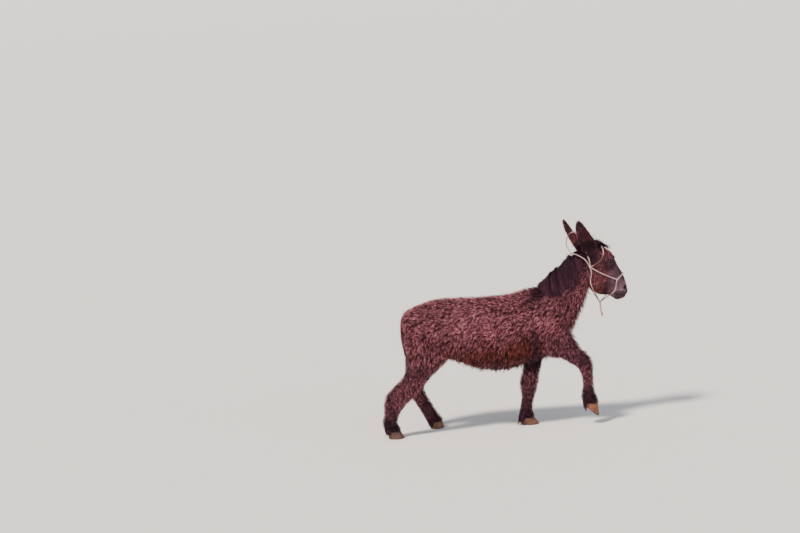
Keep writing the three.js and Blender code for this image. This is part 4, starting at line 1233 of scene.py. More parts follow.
# ---- camera ----
class DONKEY_OT_camera(bpy.types.Operator):
    """A long lens from the right side, a little above, with the ground rising ahead"""

    bl_idname = "donkey.camera"
    bl_label = "Camera"

    distance = 28.0
    elevation = math.radians(9)
    roll = math.radians(4.17)
    pixels_per_metre = 119.2
    middle = np.array([-740.7, 0, 1433.0])  # what the picture's middle shows, in mm

    def execute(self, context):
        lens = bpy.data.cameras.new("long lens")
        lens.sensor_fit = "HORIZONTAL"
        lens.sensor_width = 36.0
        lens.lens = self.distance * self.pixels_per_metre * lens.sensor_width / IMAGE_SIZE[0]
        lens.clip_end = 200
        camera = bpy.data.objects.new("camera", lens)
        e, r = self.elevation, self.roll
        look = Vector((0, math.cos(e), -math.sin(e)))
        level, upright = Vector((1, 0, 0)), Vector((0, math.sin(e), math.cos(e)))
        right = level * math.cos(r) - upright * math.sin(r)
        up = level * math.sin(r) + upright * math.cos(r)
        turn = Matrix((right, up, -look)).transposed()
        place = Vector(to_metres(self.middle)) - look * self.distance
        camera.matrix_world = Matrix.Translation(place) @ turn.to_4x4()
        context.scene.collection.objects.link(camera)
        context.scene.camera = camera
        return {"FINISHED"}


# ---- ropes ----
def smooth_path(points, step):
    """Even points along a smooth curve through the given ones."""
    points = np.asarray(points, float)
    padded = np.concatenate([[2 * points[0] - points[1]], points, [2 * points[-1] - points[-2]]])
    f = np.linspace(0, 1, 24, endpoint=False)[:, None]
    dense = [cubic(*four, f) for four in zip(padded, padded[1:], padded[2:], padded[3:])]
    dense = np.concatenate([*dense, points[-1:]])
    far = np.append(0, np.cumsum(np.linalg.norm(np.diff(dense, axis=0), axis=1)))
    even = np.linspace(0, far[-1], max(4, round(far[-1] / step)))
    return np.stack([np.interp(even, far, dense[:, k]) for k in range(3)], -1)


def path_frames(path):
    """Two directions across each point of a path, carried along it without twist."""
    along = unit(np.gradient(path, axis=0))
    side = np.cross(along[0], [0.3, 0.2, 1.0])
    sides = []
    for way in along:
        side = side - way * (side @ way)
        side = side / np.linalg.norm(side)
        sides.append(side)
    sides = np.array(sides)
    return sides, np.cross(along, sides)


def laid_rope(path, radius, lay, sides=6):
    """Three plies laid round each other along a path, of one radius or one at each point."""
    one, two = path_frames(path)
    radius = np.broadcast_to(radius, len(path))[:, None]
    far = np.append(0, np.cumsum(np.linalg.norm(np.diff(path, axis=0), axis=1)))
    parts = []
    for ply in range(3):
        turn = (far / lay * 2 * math.pi + ply * 2 * math.pi / 3)[:, None]
        middle = path + (one * np.cos(turn) + two * np.sin(turn)) * radius * PLY_OFFSET
        a, b = path_frames(middle)
        round_it = round_angles(sides)[..., None]
        ring = a[:, None] * np.cos(round_it) + b[:, None] * np.sin(round_it)
        parts.append(closed_grid(middle[:, None] + ring * radius[:, None] * PLY_RADIUS))
    return merged(parts)


class RopeBed:
    """The coat's pressed surface under the halter, and the strands' routes over it."""

    def __init__(self):
        head = [HEAD_FORM.surface(60, 80, share=0.0), *head_bulbs(3.0)]
        head = [(turn_head(points), quads) for points, quads in head]
        points, quads = merged([*head, NECK_FORM.surface(60, 60, share=0.5)])
        self.tree = BVHTree.FromPolygons(points.tolist(), quads.tolist())

    def cast(self, start, end, lift):
        """Where a ray towards a place meets the coat, lifted off it."""
        start, end = np.array(start, float), np.array(end, float)
        if end[0] > TURN_PIVOT_X:
            start, end = turn_head(start), turn_head(end)
        point, normal, _, _ = self.tree.ray_cast(Vector(start), Vector(unit(end - start)))
        if point is None:
            raise RuntimeError("nothing lies under the halter at %s" % end)
        if normal.dot(Vector(end - start)) > 0:
            normal = -normal
        return np.array(point + normal * lift)

    def side(self, sign, line):
        """Places of a side-view line on one side, found from well beside it."""
        return [self.cast((x, sign * 500, z), (x, 0, z), ROPE_REST) for x, z in line]

    def over(self, line, top, way):
        """A line up the right side, over its top and down the left side."""
        (x, z), (dx, dz) = top, way
        peak = self.cast((x + 400 * dx, 0, z + 400 * dz), (x, 0, z), ROPE_REST)
        return [*self.side(-1, line), peak, *self.side(1, line)[::-1]]

    def routes(self):
        """The places each strand of the halter goes through, by its name."""
        routes = {
            "crown": self.over(HALTER["crown"], HALTER["crest"], (-0.5, 1)),
            "poll": self.over(HALTER["poll"], HALTER["poll_top"], (0, 1)),
            "brow": self.over(HALTER["brow"], HALTER["brow_top"], (0.4, 1)),
            "nose": self.over(HALTER["nose"], HALTER["bridge"], (1, 0.4)),
        }
        chin = chin_knot()
        for name, sign in (("right", -1), ("left", 1)):
            routes["cheek_" + name] = self.side(sign, HALTER["cheek"])
            routes["throat_" + name] = [*self.side(sign, HALTER["throat"]), chin]
            routes["jaw_" + name] = [*self.side(sign, HALTER["jaw"]), chin]
        crest = routes["crown"][len(HALTER["crown"])]
        poll = routes["poll"][len(HALTER["poll"])]
        routes["bow"] = [crest, *np.array(HALTER["bow"], float), poll]
        return routes


def chin_knot():
    """The middle of the knot under the chin."""
    return turn_head(np.array([HALTER["chin"][0], 0, HALTER["chin"][1]], float))


def free_end_route():
    """The free end's path, down from the chin knot."""
    top = chin_knot() + np.array([2, 0, -KNOT_RADIUS - 0.3])
    tip = top + np.array([12, 2, -FREE_END["length"]])
    middle = (top + tip) / 2 + np.array([-3, 0, 0])
    return smooth_path([top, middle, tip], ROPE_STEP)


def knot(centre, radius, lay):
    """A rope's overhand knot, pulled round."""
    turn = np.linspace(0, 2 * math.pi, 60)
    x, y = np.sin(turn) + 2 * np.sin(2 * turn), np.cos(turn) - 2 * np.cos(2 * turn)
    loop = np.stack([x, y, -1.6 * np.sin(3 * turn)], -1)
    return laid_rope(centre + loop * (radius - ROPE_RADIUS + 1.5) / 3.1, ROPE_RADIUS, lay)


def soil_and_shade(points):
    """How dark the rope is at its points: painted shade under the jaw and at the back of the bow,
    and darker by the ear.
    """
    marks = np.zeros((len(points), 4))
    x, _, z = points.T
    # Painted shade: the strands under the jaw and the back of the bow.
    jaw = smooth(z, 990, 1030) * (1 - smooth(z, 1050, 1110))
    bow = smooth(z, 1478, 1500) * (1 - smooth(x, 696, 722))
    brow = smooth(x, 842, 866) * smooth(z, 1328, 1342) * (1 - smooth(z, 1400, 1440))
    marks[:, 0] = np.maximum.reduce([jaw, bow * 0.9, brow])
    return marks


class DONKEY_OT_free_end(bpy.types.Operator):
    """The rope's free end, hanging under the chin knot"""

    bl_idname = "donkey.free_end"
    bl_label = "Free end of the rope"

    def execute(self, context):
        settings = context.scene.donkey_halter
        path = free_end_route()
        # The plies open a little at the cut end.
        opened = 1 + 0.4 * smooth(np.linspace(0, 1, len(path)), 0.6, 1)
        points, quads = laid_rope(path, FREE_END["radius"] * opened, settings.lay / MM)
        colours = settings.end_colour, linear("#5d4038")
        material = kept("worn brown cord", rope_material, *colours)
        end = mesh_object("rope_free_end", points, quads, material, None, soil_and_shade(points))
        riding(end, "rope", "halter_end")
        return {"FINISHED"}


class DONKEY_OT_halter(bpy.types.Operator):
    """The halter: laid cord round the nose, cheeks, poll and throat, tied at its knots"""

    bl_idname = "donkey.halter"
    bl_label = "Halter"

    def execute(self, context):
        settings = context.scene.donkey_halter
        lay = settings.lay / MM
        colours = settings.rope_colour, settings.soil_and_shade_colour
        material = kept("pale laid cord", rope_material, *colours)
        routes = RopeBed().routes()
        paths = [smooth_path(route, ROPE_STEP) for route in routes.values()]
        points, quads = merged([laid_rope(path, ROPE_RADIUS, lay) for path in paths])
        ropes = mesh_object("halter_strands", points, quads, material, None, soil_and_shade(points))
        nodes = [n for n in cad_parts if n.startswith("halter_") and "knot" not in n]
        riding(ropes, "rope", *[n for n in nodes if n != "halter_end"])
        centres = [chin_knot(), routes["bow"][0], routes["bow"][-1]]
        for side in ("right", "left"):
            centres += [routes["cheek_" + side][0], routes["cheek_" + side][-1]]
        tied = [knot(centre, KNOT_RADIUS, lay) for centre in centres]
        points, quads = merged(tied)
        knots = mesh_object("halter_knots", points, quads, material, None, soil_and_shade(points))
        riding(knots, "rope", *[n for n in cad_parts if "knot" in n])
        return {"FINISHED"}


# ---- skin, eyes and hooves ----
class DONKEY_OT_skin(bpy.types.Operator):
    """One skin over body, legs, tail, head and ears, under the coat"""

    bl_idname = "donkey.skin"
    bl_label = "Skin"

    def execute(self, context):
        body_voxel, head_voxel = ((12, 3.4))
        soft_passes = 5
        legs = [form.surface(40, 80) for form in LEG_FORMS.values()]
        body = [TORSO_FORM.surface(80, 80), NECK_FORM.surface(60, 60)]
        body = merged([*body, TAIL_FORM.surface(24, 60), *legs])
        trunk, _, trunk_quads = remeshed(*body, body_voxel, soft_passes)
        head = merged([HEAD_FORM.surface(72, 110), *head_bulbs()])
        face, normals, face_quads = remeshed(*head, head_voxel, soft_passes)
        face = turn_head(model_face(face, normals))
        parts = [(trunk, trunk_quads), (face, face_quads)]
        parts += [ear_shell(ear) for ear in EARS.values()]
        parts += [lids(side) for side in EARS]
        points, quads = merged(parts)
        lid_count = sum(len(part[0]) for part in parts[-2:])
        lid, ear = np.zeros((2, len(points)))
        lid[-lid_count:] = 1
        # Each ear's rings go round its outside and then its inside, and two points end them.
        inner = np.tile(np.r_[np.zeros(EAR_SIDES), np.ones(EAR_SIDES)], EAR_RINGS)
        ear[-lid_count - 2 * len(inner) - 4 : -lid_count] = np.tile(np.r_[inner, 0, 0], 2)
        marks = self.marks(points, lid, ear)
        index = places().near(points[quads].mean(1))
        uv = places().unwrapped(points[quads], index[:, None].repeat(4, 1))
        look = context.scene.donkey_look
        material = kept("short hair and bare skin", skin_material, look)
        skin = mesh_object("skin", points, quads, material, uv.reshape(-1, 2), marks)
        flesh = ("torso", "neck", "head", "tail", "ear", "leg", "shank")
        riding(skin, "coat_body", *[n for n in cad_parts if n.startswith(flesh)])
        return {"FINISHED"}

    def marks(self, points, lid, ear):
        """How dark, warm and bare the skin is, and how much light comes into its hollows."""
        dark, warm, muzzle = markings_and_shade(points)
        hollow = np.ones(len(points))
        for sign in (-1, 1):
            nostril = turn_head(np.array([1125, sign * 40, 1118], float))
            away = np.linalg.norm((points - nostril) / np.array([15, 18, 21]), axis=1)
            hollow = np.minimum(hollow, 0.06 + 0.94 * smooth(away, 0.5, 1.2))
        # Little light comes to the skin under the coat.
        hollow *= 0.22 + 0.78 * smooth(muzzle, 0.6, 0.84)
        lips = away_from_line(points[:, 0], points[:, 2], MOUTH["line"])
        hollow = np.minimum(hollow, 0.3 + 0.7 * smooth(lips, 1, 5))
        dark = np.maximum(dark, 0.9 * lid) * (1 - 0.5 * ear)
        bare = np.maximum.reduce([muzzle * (1 - lid), 0.25 * lid, 0.4 * ear])
        return np.stack([dark, warm, bare, np.where(lid > 0, 0.8, hollow) * (1 + 0.4 * ear)], -1)


class DONKEY_OT_eyes(bpy.types.Operator):
    """The eyeballs, with a bulging cornea, an iris and a wide level pupil"""

    bl_idname = "donkey.eyes"
    bl_label = "Eyes"

    def execute(self, context):
        material = kept("wet eye", eye_material, context.scene.donkey_look)
        for side in EARS:
            centre, front, up, out = eye_axes(side)
            theta = np.linspace(0, math.pi, 49)[:, None]
            psi = round_angles(64)
            x, y = np.sin(theta) * np.cos(psi), np.sin(theta) * np.sin(psi)
            z = np.cos(theta) * np.ones_like(psi)
            off = np.degrees(theta) * np.ones_like(psi)
            bulge = 1 + 0.07 * (1 - smooth(off, 12, 46))
            ball = front * x[..., None] + up * y[..., None] + out * z[..., None]
            points, quads = closed_grid(centre + ball * (EYE["radius"] * bulge)[..., None])
            iris = 1 - smooth(off, 38, 43)
            pupil = (1 - smooth(np.hypot(x / 0.42, y / 0.22), 0.85, 1.05)) * (z > 0)
            marks = np.zeros((len(points), 4))
            marks[:-2, 0] = iris.ravel()
            marks[:-2, 1] = pupil.ravel()
            marks[-2:, :2] = marks[[0, -3], :2]
            eye = mesh_object("eye_ball_" + side, points, quads, material, None, marks)
            riding(eye, "eye", "eye_" + side)
            self.lashes(context.scene.donkey_look, side)
        return {"FINISHED"}

    def lashes(self, look, side):
        """Lashes along the upper lid, longest in its middle."""
        centre, front, up, out = eye_axes(side)
        rng = np.random.default_rng(SEEDS["lashes"])
        count = 70
        angle = np.linspace(0.35, 2.8, count) + 0.03 * rng.normal(size=count)
        x, y = EYE["half_width"] * np.cos(angle), EYE["half_height"] * np.sin(angle)
        height = np.sqrt(EYE["radius"] ** 2 - x**2 - y**2) + 2.4
        x, y, height = x[:, None], y[:, None] + 1.0, height[:, None]
        reach = (7 + 7 * np.sin(angle) + rng.normal(size=count))[:, None]
        root = centre + front * x + up * y + out * height
        bend = root + out * reach * 0.5 + up * reach * 0.02
        tip = root + out * reach * 0.8 + (up * -0.35 + front * x * 0.02) * reach
        spine = bezier(np.stack([root, bend, tip], 1), 5)
        widths, ways = np.full(count, 0.9), np.tile(up, (count, 1))
        strands("lashes_" + side, "coat_head", look, spine, widths, ways, rng, dark=1.0)


class DONKEY_OT_hooves(bpy.types.Operator):
    """The hooves, ringed and worn, each under its coronet"""

    bl_idname = "donkey.hooves"
    bl_label = "Hooves"

    toe_wear, heel_wear = 0.13, 0.03  # of the sole's length
    edge_wear = 5  # at each side, in mm
    darkened = {"front_right": 0.0, "hind_right": 0.75}  # at least; the others half

    def execute(self, context):
        material = kept("hoof horn", horn_material, context.scene.donkey_look)
        for name, (toe_x, toe_z, heel_x, heel_z, half) in SOLES.items():
            ax, az, bx, bz, y, coronet, _, _ = LEGS[name][-1]
            top = np.array([ax, az, bx, bz, y, coronet, 0, 0], float)
            sole = np.array([toe_x, toe_z, heel_x, heel_z, y, half, HOOF_WIDEST, 0], float)
            # The toe is worn round: the sole's edge draws in under the wall.
            worn = sole.copy()
            worn[:2] += (sole[2:4] - sole[:2]) * self.toe_wear
            worn[2:4] += (sole[:2] - sole[2:4]) * self.heel_wear
            worn[5] -= self.edge_wear
            rows = [top + (sole - top) * share for share in (0, 0.3, 0.6, 0.86)]
            form = Form([*rows, worn], 0, 0)
            t = np.linspace(0, 1, 41)[:, None]
            phi = round_angles(64)
            # Growth rings stand 0.5 mm proud, closer together at the coronet.
            rise = -0.8 + 0.5 * np.sin(t**0.8 * 58) * (1 - t) ** 0.3 - 2.0 * (t > 0.99)
            rise = rise - 2.2 * (1 - smooth(t, 0.0, 0.12))
            wall = form.at(t, phi, rise)
            scuffed = wander(wall, 22, SEEDS["scuffs"])[..., None]
            wall = wall + (wall - wall.mean((0, 1))) * 0.012 * scuffed * t[..., None]
            # The frog and the bars of the sole are pressed in under the wall's edge.
            ring = form.at(np.ones((1, 1)), phi)
            core = ring.mean(1, keepdims=True)
            up = unit(top[:2] + top[2:4] - sole[:2] - sole[2:4])
            up = np.array([up[0], 0, up[1]])
            insets = ((0.86, 0.0), (0.8, 5.0), (0.5, 7.0), (0.2, 6.0))
            under = [core + (ring - core) * inset + up * lift for inset, lift in insets]
            points, quads = closed_grid(np.concatenate([wall, *under], 0))
            points[:, 2] = np.maximum(points[:, 2], SOLE_CLEARANCE)
            marks = np.zeros((len(points), 4))
            dirt = np.clip(smooth(t, 0.35, 1.0) * (0.6 + 0.4 * np.cos(phi)), 0, 1)
            dirt = np.maximum(dirt, 0.8 * (1 - smooth(t, 0.02, 0.16)))
            dirt = np.maximum(dirt, self.darkened.get(name, 0.5))
            marks[: dirt.size, 0] = dirt.ravel()
            marks[dirt.size :, 0] = 1
            hoof = mesh_object("horn_" + name, points, quads, material, None, marks)
            riding(hoof, "hoof", "hoof_" + name)
        return {"FINISHED"}


# ---- coat ----
BODY_COAT = 34  # how deep the body's coat is, in mm
TUFT_AREA = 11.0  # the least skin under one tuft, in square mm
CLUMP_SIZE = 0.24  # of a tuft's length


def skin_roots(rng, cover):
    """Roots over the skin: places, outward ways, nearest form places and tuft sizes."""
    place, normals, quads = mesh_values(bpy.data.objects["skin"].data)
    points = place.astype(float) / MM - SHIFT
    triangles = np.concatenate([quads[:, :3], quads[:, [0, 2, 3]]])
    corner = points[triangles]
    area = np.cross(corner[:, 1] - corner[:, 0], corner[:, 2] - corner[:, 0])
    area = np.linalg.norm(area, axis=1) / 2
    index = places().near(corner.mean(1)[: len(quads)])
    index = np.concatenate([index, index])
    length, width = tuft_size(places().coat[index], places().form[index])
    each = np.maximum(length * width / cover, TUFT_AREA)
    count = int((area / each).sum())
    chance = np.cumsum(area / each)
    picked = np.searchsorted(chance, rng.uniform(0, chance[-1], count))
    picked = np.minimum(picked, len(triangles) - 1)
    u, v = rng.uniform(size=(2, count))
    flip = u + v > 1
    u, v = np.where(flip, 1 - u, u)[:, None], np.where(flip, 1 - v, v)[:, None]
    chosen = triangles[picked]
    weights = (1 - u - v, u, v)
    roots = sum(points[chosen[:, k]] * weights[k] for k in range(3))
    outward = unit(sum(normals[chosen[:, k]] * weights[k] for k in range(3)))
    return roots, outward, index[picked], each[picked]


def tuft_size(coat, form):
    """Length and width of tufts on a coat of some depth; those of the legs hang longer."""
    on_leg = np.array([name in LEGS for name in places().names])[form]
    length = np.where(on_leg, 1.15 * coat + 11, 1.2 * coat + 5)
    return length, 0.055 * length + 1.2


def blended(roots):
    """The lie and depth of the coat at roots, mixed over the nearest places."""
    tree, count = places().tree, 4
    near = np.empty((len(roots), count), int)
    away = np.empty((len(roots), count))
    for i, root in enumerate(roots):
        for k, (_, j, distance) in enumerate(tree.find_n(root, count)):
            near[i, k], away[i, k] = j, distance
    weight = 1 / (away + 6)
    weight /= weight.sum(1, keepdims=True)
    lie = (places().lie[near] * weight[..., None]).sum(1)
    return lie, (places().coat[near] * weight).sum(1)


def from_ropes(points):
    """How far points lie from the halter's strands, up to 99 mm."""
    line = [smooth_path(route, 8) for route in RopeBed().routes().values()]
    tree = kd_tree(np.concatenate(line))
    far = 99.0
    away = np.full(points.shape[:-1], far)
    near = points[..., 0] > HALTER_BACK
    away[near] = [min(tree.find(point)[2], far) for point in points[near]]
    return away


class DONKEY_OT_coat(bpy.types.Operator):
    """The coat: tufts over the whole skin that lean together in clumps and wave"""

    bl_idname = "donkey.coat"
    bl_label = "Coat"

    largest = 190000  # triangles in one piece

    def execute(self, context):
        settings, look = context.scene.donkey_coat, context.scene.donkey_look
        rng = np.random.default_rng(SEEDS["coat"])
        cover = settings.cover * 1
        roots, outward, index, each = skin_roots(rng, cover)
        names = np.array(places().names)
        keep = self.haired(roots, outward, names[places().form[index]])
        roots, outward, index, each = (a[keep] for a in (roots, outward, index, each))
        lie, coat = blended(roots)
        coat = coat * (0.45 + 0.55 * smooth(from_ropes(roots), 12, 34))
        form = names[places().form[index]]
        on_ear = np.char.startswith(form, "ear")
        on_face = form == "head"
        length, width = tuft_size(coat, places().form[index])
        chance = each / (CLUMP_SIZE * length) ** 2
        seeds = np.flatnonzero(rng.uniform(size=len(roots)) < chance)
        tree = kd_tree(roots[seeds])
        clump = np.array([tree.find(root)[1] for root in roots])
        seed = seeds[clump]
        draw = rng.normal(size=(len(seeds), 5))[clump]
        own = rng.normal(size=(len(roots), 4))
        loose = np.where(on_face | on_ear, 0.4, 1.0)
        way = unit(lie - outward * (lie * outward).sum(1, keepdims=True))
        side = np.cross(outward, way)
        whorl = wander(roots, 120, SEEDS["turns"])
        turn = loose * (0.2 * draw[:, 0] + 0.2 * whorl + 0.13 * own[:, 0])
        way = way * np.cos(turn)[:, None] + side * np.sin(turn)[:, None]
        side = np.cross(outward, way)
        length = length * np.clip(1 + 0.16 * draw[:, 1] + 0.1 * own[:, 1], 0.5, 1.5)
        height = coat * np.clip(0.74 + 0.16 * draw[:, 2] + 0.1 * own[:, 2], 0.2, 1.2)
        # The hair lies flat on the face. The fringe under the belly and down the front of
        # neck and chest hangs loose.
        height = height * np.where(on_face, 0.62, 1.0)
        fringe = np.maximum(smooth(-outward[:, 2], 0.1, 0.7), smooth(outward[:, 0], 0.3, 0.8))
        fringe = fringe * np.isin(form, ("torso", "neck"))
        height = height * (1 + 0.5 * fringe * np.abs(draw[:, 1]))
        height = height + np.where(np.isin(form, list(LEGS)), 0.3 * (BODY_COAT - coat) + 6, 0.0)
        gather = roots - roots[seed]
        gather -= outward * (gather * outward).sum(1, keepdims=True)
        gather = np.clip(gather, -24, 24) * settings.clump
        wave = settings.curl / MM * np.clip(coat / BODY_COAT, 0.1, 1)
        tone = self.tone(roots, 0.6 * draw[:, 3] + 0.66 * own[:, 3])
        tone = tone * np.where(on_face | on_ear, 1.35, 1.0) + np.where(on_face, 0.2, 0.0)
        shades = tone, np.zeros(len(roots)), 0.12 + 0.3 * draw[:, 4]
        material = kept("curly coat", coat_material, look)
        for name, slot, chosen, steps in self.parts(form, roots):
            s = np.linspace(0, 1, steps)[None, :, None]
            phase = draw[chosen, 3][:, None, None] * 2.4
            swing = np.sin(2 * math.pi * 0.6 * s + phase) * s
            spine = (
                (roots - outward * 1.5)[chosen][:, None]
                + (way * length[:, None])[chosen][:, None] * s
                + (outward * height[:, None])[chosen][:, None] * (1 - (1 - s) ** 2)
                + (side * wave[:, None])[chosen][:, None] * swing
                - gather[chosen][:, None] * s**1.5
            )
            taper = np.array({3: [1, 0.8, 0], 4: [0.8, 1, 0.66, 0]}[steps])
            tufts = self.largest // (6 * steps - 8)  # a tuft has so many triangles
            for number, first in enumerate(range(0, len(chosen), tufts)):
                part, some = slice(first, first + tufts), chosen[first : first + tufts]
                hair_object(
                    "coat_%s_%d" % (name, number + 1),
                    material,
                    slot,
                    spine[part],
                    outward[some],
                    width[some] / 2,
                    width[some] * 0.22,
                    taper,
                    [shade[some] for shade in shades],
                )
        return {"FINISHED"}

    def tone(self, roots, tone):
        """How pale tufts are, with painted light that brightens the barrel's side and the
        shoulder.
        """
        barrel = np.hypot((roots[:, 0] + 150) / 2.2, roots[:, 2] - 930)
        shoulder = np.hypot(roots[:, 0] - 440, roots[:, 2] - 880)
        tone = tone + 0.45 * (1 - smooth(barrel, 40, 180))
        return tone + 0.35 * (1 - smooth(shoulder, 30, 130))

    def haired(self, roots, outward, form):
        """False where the skin is bare: eyes, nostrils, mouth and some of the ears' inside."""
        keep = np.ones(len(roots), bool)
        for side in EARS:
            centre, front, up, out = eye_axes(side)
            move = roots - centre
            a, b = move @ front / (EYE["half_width"] + 8), move @ up / (EYE["half_height"] + 8)
            keep &= (np.hypot(a, b) > 1) | (move @ out < 0)
        for sign in (-1, 1):
            nostril = turn_head(np.array([1124, sign * 42, 1119], float))
            keep &= np.linalg.norm((roots - nostril) / np.array([17, 20, 23]), axis=1) > 1
        keep &= away_from_line(roots[:, 0], roots[:, 2], MOUTH["line"]) > 3.5
        draw = np.random.default_rng(SEEDS["ears"]).uniform(size=len(roots))
        for side, ear in EARS.items():
            _, _, _, opening, _ = ear_frame(ear)
            inner = (np.char.find(form, "ear_" + side) == 0) & (outward @ opening > 0.3)
            keep &= ~inner | (draw > 0.4)
        return keep

    def parts(self, form, roots):
        """The pieces of coat: name, material slot, which tufts and how many steps each."""
        order = np.argsort(roots[:, 0])
        parts = (
            ("torso", "coat_body", ("torso",), 3),
            ("neck", "coat_body", ("neck",), 3),
            ("fore_legs", "coat_leg", ("front_right", "front_left"), 3),
            ("hind_legs", "coat_leg", ("hind_right", "hind_left"), 3),
            ("tail", "coat_dark", ("tail",), 4),
            ("ears", "coat_dark", ("ear_right", "ear_left"), 3),
            ("head", "coat_head", ("head",), 3),
        )
        for name, slot, forms, steps in parts:
            yield name, slot, order[np.isin(form[order], forms)], steps


def bezier(points, steps):
    """Points (count, steps, n) along the curves of control points (count, k, n)."""
    order = points.shape[1] - 1
    s = np.linspace(0, 1, steps)
    curve = 0
    for k in range(order + 1):
        weight = math.comb(order, k) * s**k * (1 - s) ** (order - k)
        curve = curve + points[:, k : k + 1] * weight[None, :, None]
    return curve


def strands(name, slot, look, spine, widths, outward, rng, dark=0.75):
    """Long strands along their spines, as one piece of dark coat."""
    taper = np.clip(1.15 - np.linspace(0, 1, spine.shape[1]), 0, 1) ** 0.5
    taper[0], taper[-1] = 0.7, 0.0
    material = kept("curly coat", coat_material, look)
    draw = rng.normal(size=(2, len(spine)))
    shade = (0.7 * draw[0], np.full(len(spine), dark), 0.2 * draw[1])
    hair_object(name, material, slot, spine, outward, widths / 2, widths * 0.2, taper, shade)


class DONKEY_OT_mane(bpy.types.Operator):
    """The mane along the crest, half upright and half falling, and the forelock"""

    bl_idname = "donkey.mane"
    bl_label = "Mane and forelock"

    wisps = [
        ((846, -12, 1478), (852, -14, 1590), (922, -16, 1594)),
        ((868, 10, 1478), (886, 12, 1548), (940, 14, 1550)),
        ((878, -14, 1486), (896, -18, 1584), (978, -18, 1494)),
        ((888, -22, 1476), (948, -26, 1542), (1040, -22, 1450)),
        ((880, 24, 1480), (940, 30, 1530), (985, 34, 1486)),
        ((905, 0, 1474), (968, 0, 1516), (1010, 4, 1462)),
        ((895, -34, 1462), (940, -52, 1474), (968, -64, 1420)),
        ((890, 36, 1462), (938, 54, 1474), (962, 66, 1424)),
        ((812, -16, 1466), (786, -20, 1532), (722, -18, 1512)),
        ((800, 6, 1464), (768, 8, 1524), (706, 10, 1496)),
        ((788, -32, 1450), (756, -44, 1496), (716, -42, 1468)),
    ]
    # How many hairs each wisp has, as a share of a full one.
    shares = (0.35, 0.35, 1.2, 1.3, 1.0, 1.2, 1.2, 1.2, 1.4, 1.4, 1.2)

    def execute(self, context):
        look = context.scene.donkey_look
        rng = np.random.default_rng(SEEDS["mane"])
        count = 4200
        hang = context.scene.donkey_coat.mane / MM
        locks, to_the_right = 58, 0.72
        lock = rng.integers(0, locks, count)
        shared = rng.normal(size=(locks, 5))[lock]
        own = rng.normal(size=(count, 5))
        t = 0.06 + 0.86 * (lock + 0.5) / locks + 0.009 * own[:, 0]
        t = np.clip(t, 0.03, 0.93)
        side = np.where(rng.uniform(size=locks) < to_the_right, -1.0, 1.0)[lock]
        ax, az, bx, bz = NECK_FORM.slices(t)[:, :4].T
        half = np.maximum(np.hypot(ax - bx, az - bz) / 2, 90)
        fall = np.clip(hang / half * (1 + 0.2 * shared[:, 0] + 0.1 * own[:, 1]), 0.35, 1.7)
        stand = 17 + 18 * np.abs(shared[:, 1]) + 11 * np.abs(own[:, 4]) + 10 * smooth(t, 0.6, 0.9)
        stand = stand * (0.35 + 0.65 * smooth(t, 0.04, 0.34))  # lower to the withers
        back = 0.05 * shared[:, 2] + 0.014 * own[:, 3]
        start = 0.1 * own[:, 2] + 0.05 * side
        ways = [
            [t, t, t - 0.03 - back, t - 0.06 - 1.6 * back],
            [start, start + 0.16 * side * fall, 0.55 * side * fall, side * fall],
            [np.full(count, -4.0), stand * 1.5, stand, 10 + 6 * np.abs(shared[:, 4])],
        ]
        t, phi, rise = (bezier(np.stack(way, -1)[..., None], 7)[..., 0] for way in ways)
        away = from_ropes(NECK_FORM.at(t, phi, -10))
        rise = -18 + (rise + 18) * smooth(away, 26, 64)
        spine = NECK_FORM.at(t, phi, rise)
        widths = 3.6 + 1.2 * rng.uniform(size=count)
        outward = unit(NECK_FORM.at(t[:, 4], phi[:, 4], 10) - NECK_FORM.at(t[:, 4], phi[:, 4]))
        strands("mane", "coat_dark", look, spine, widths, outward, rng, dark=1.0)
        self.forelock(look, rng)
        return {"FINISHED"}

    def forelock(self, look, rng):
        """Wisps that fall over the brow and between the ears."""
        paths = []
        full = 46
        for wisp, share in zip(self.wisps, self.shares):
            root, bend, tip = turn_head(np.array(wisp, float))
            each = max(6, round(full * share))
            spread = rng.normal(size=(each, 3))
            roots = root + spread * np.array([16, 15, 2]) - np.array([0, 0, 14])
            middle = bend + spread * np.array([9, 10, 9])
            ends = tip + spread * np.array([5, 6, 5]) * 1.4
            ends = roots + (ends - roots) * rng.uniform(0.55, 1.05, (each, 1))
            paths.append(np.stack([roots, middle, ends], 1))
        paths = np.concatenate(paths)
        widths = 3.2 + rng.uniform(size=len(paths))
        outward = np.tile(unit(np.array([-0.5, 0.2, 0.8])), (len(paths), 1))
        strands("forelock", "coat_dark", look, bezier(paths, 8), widths, outward, rng, dark=0.9)


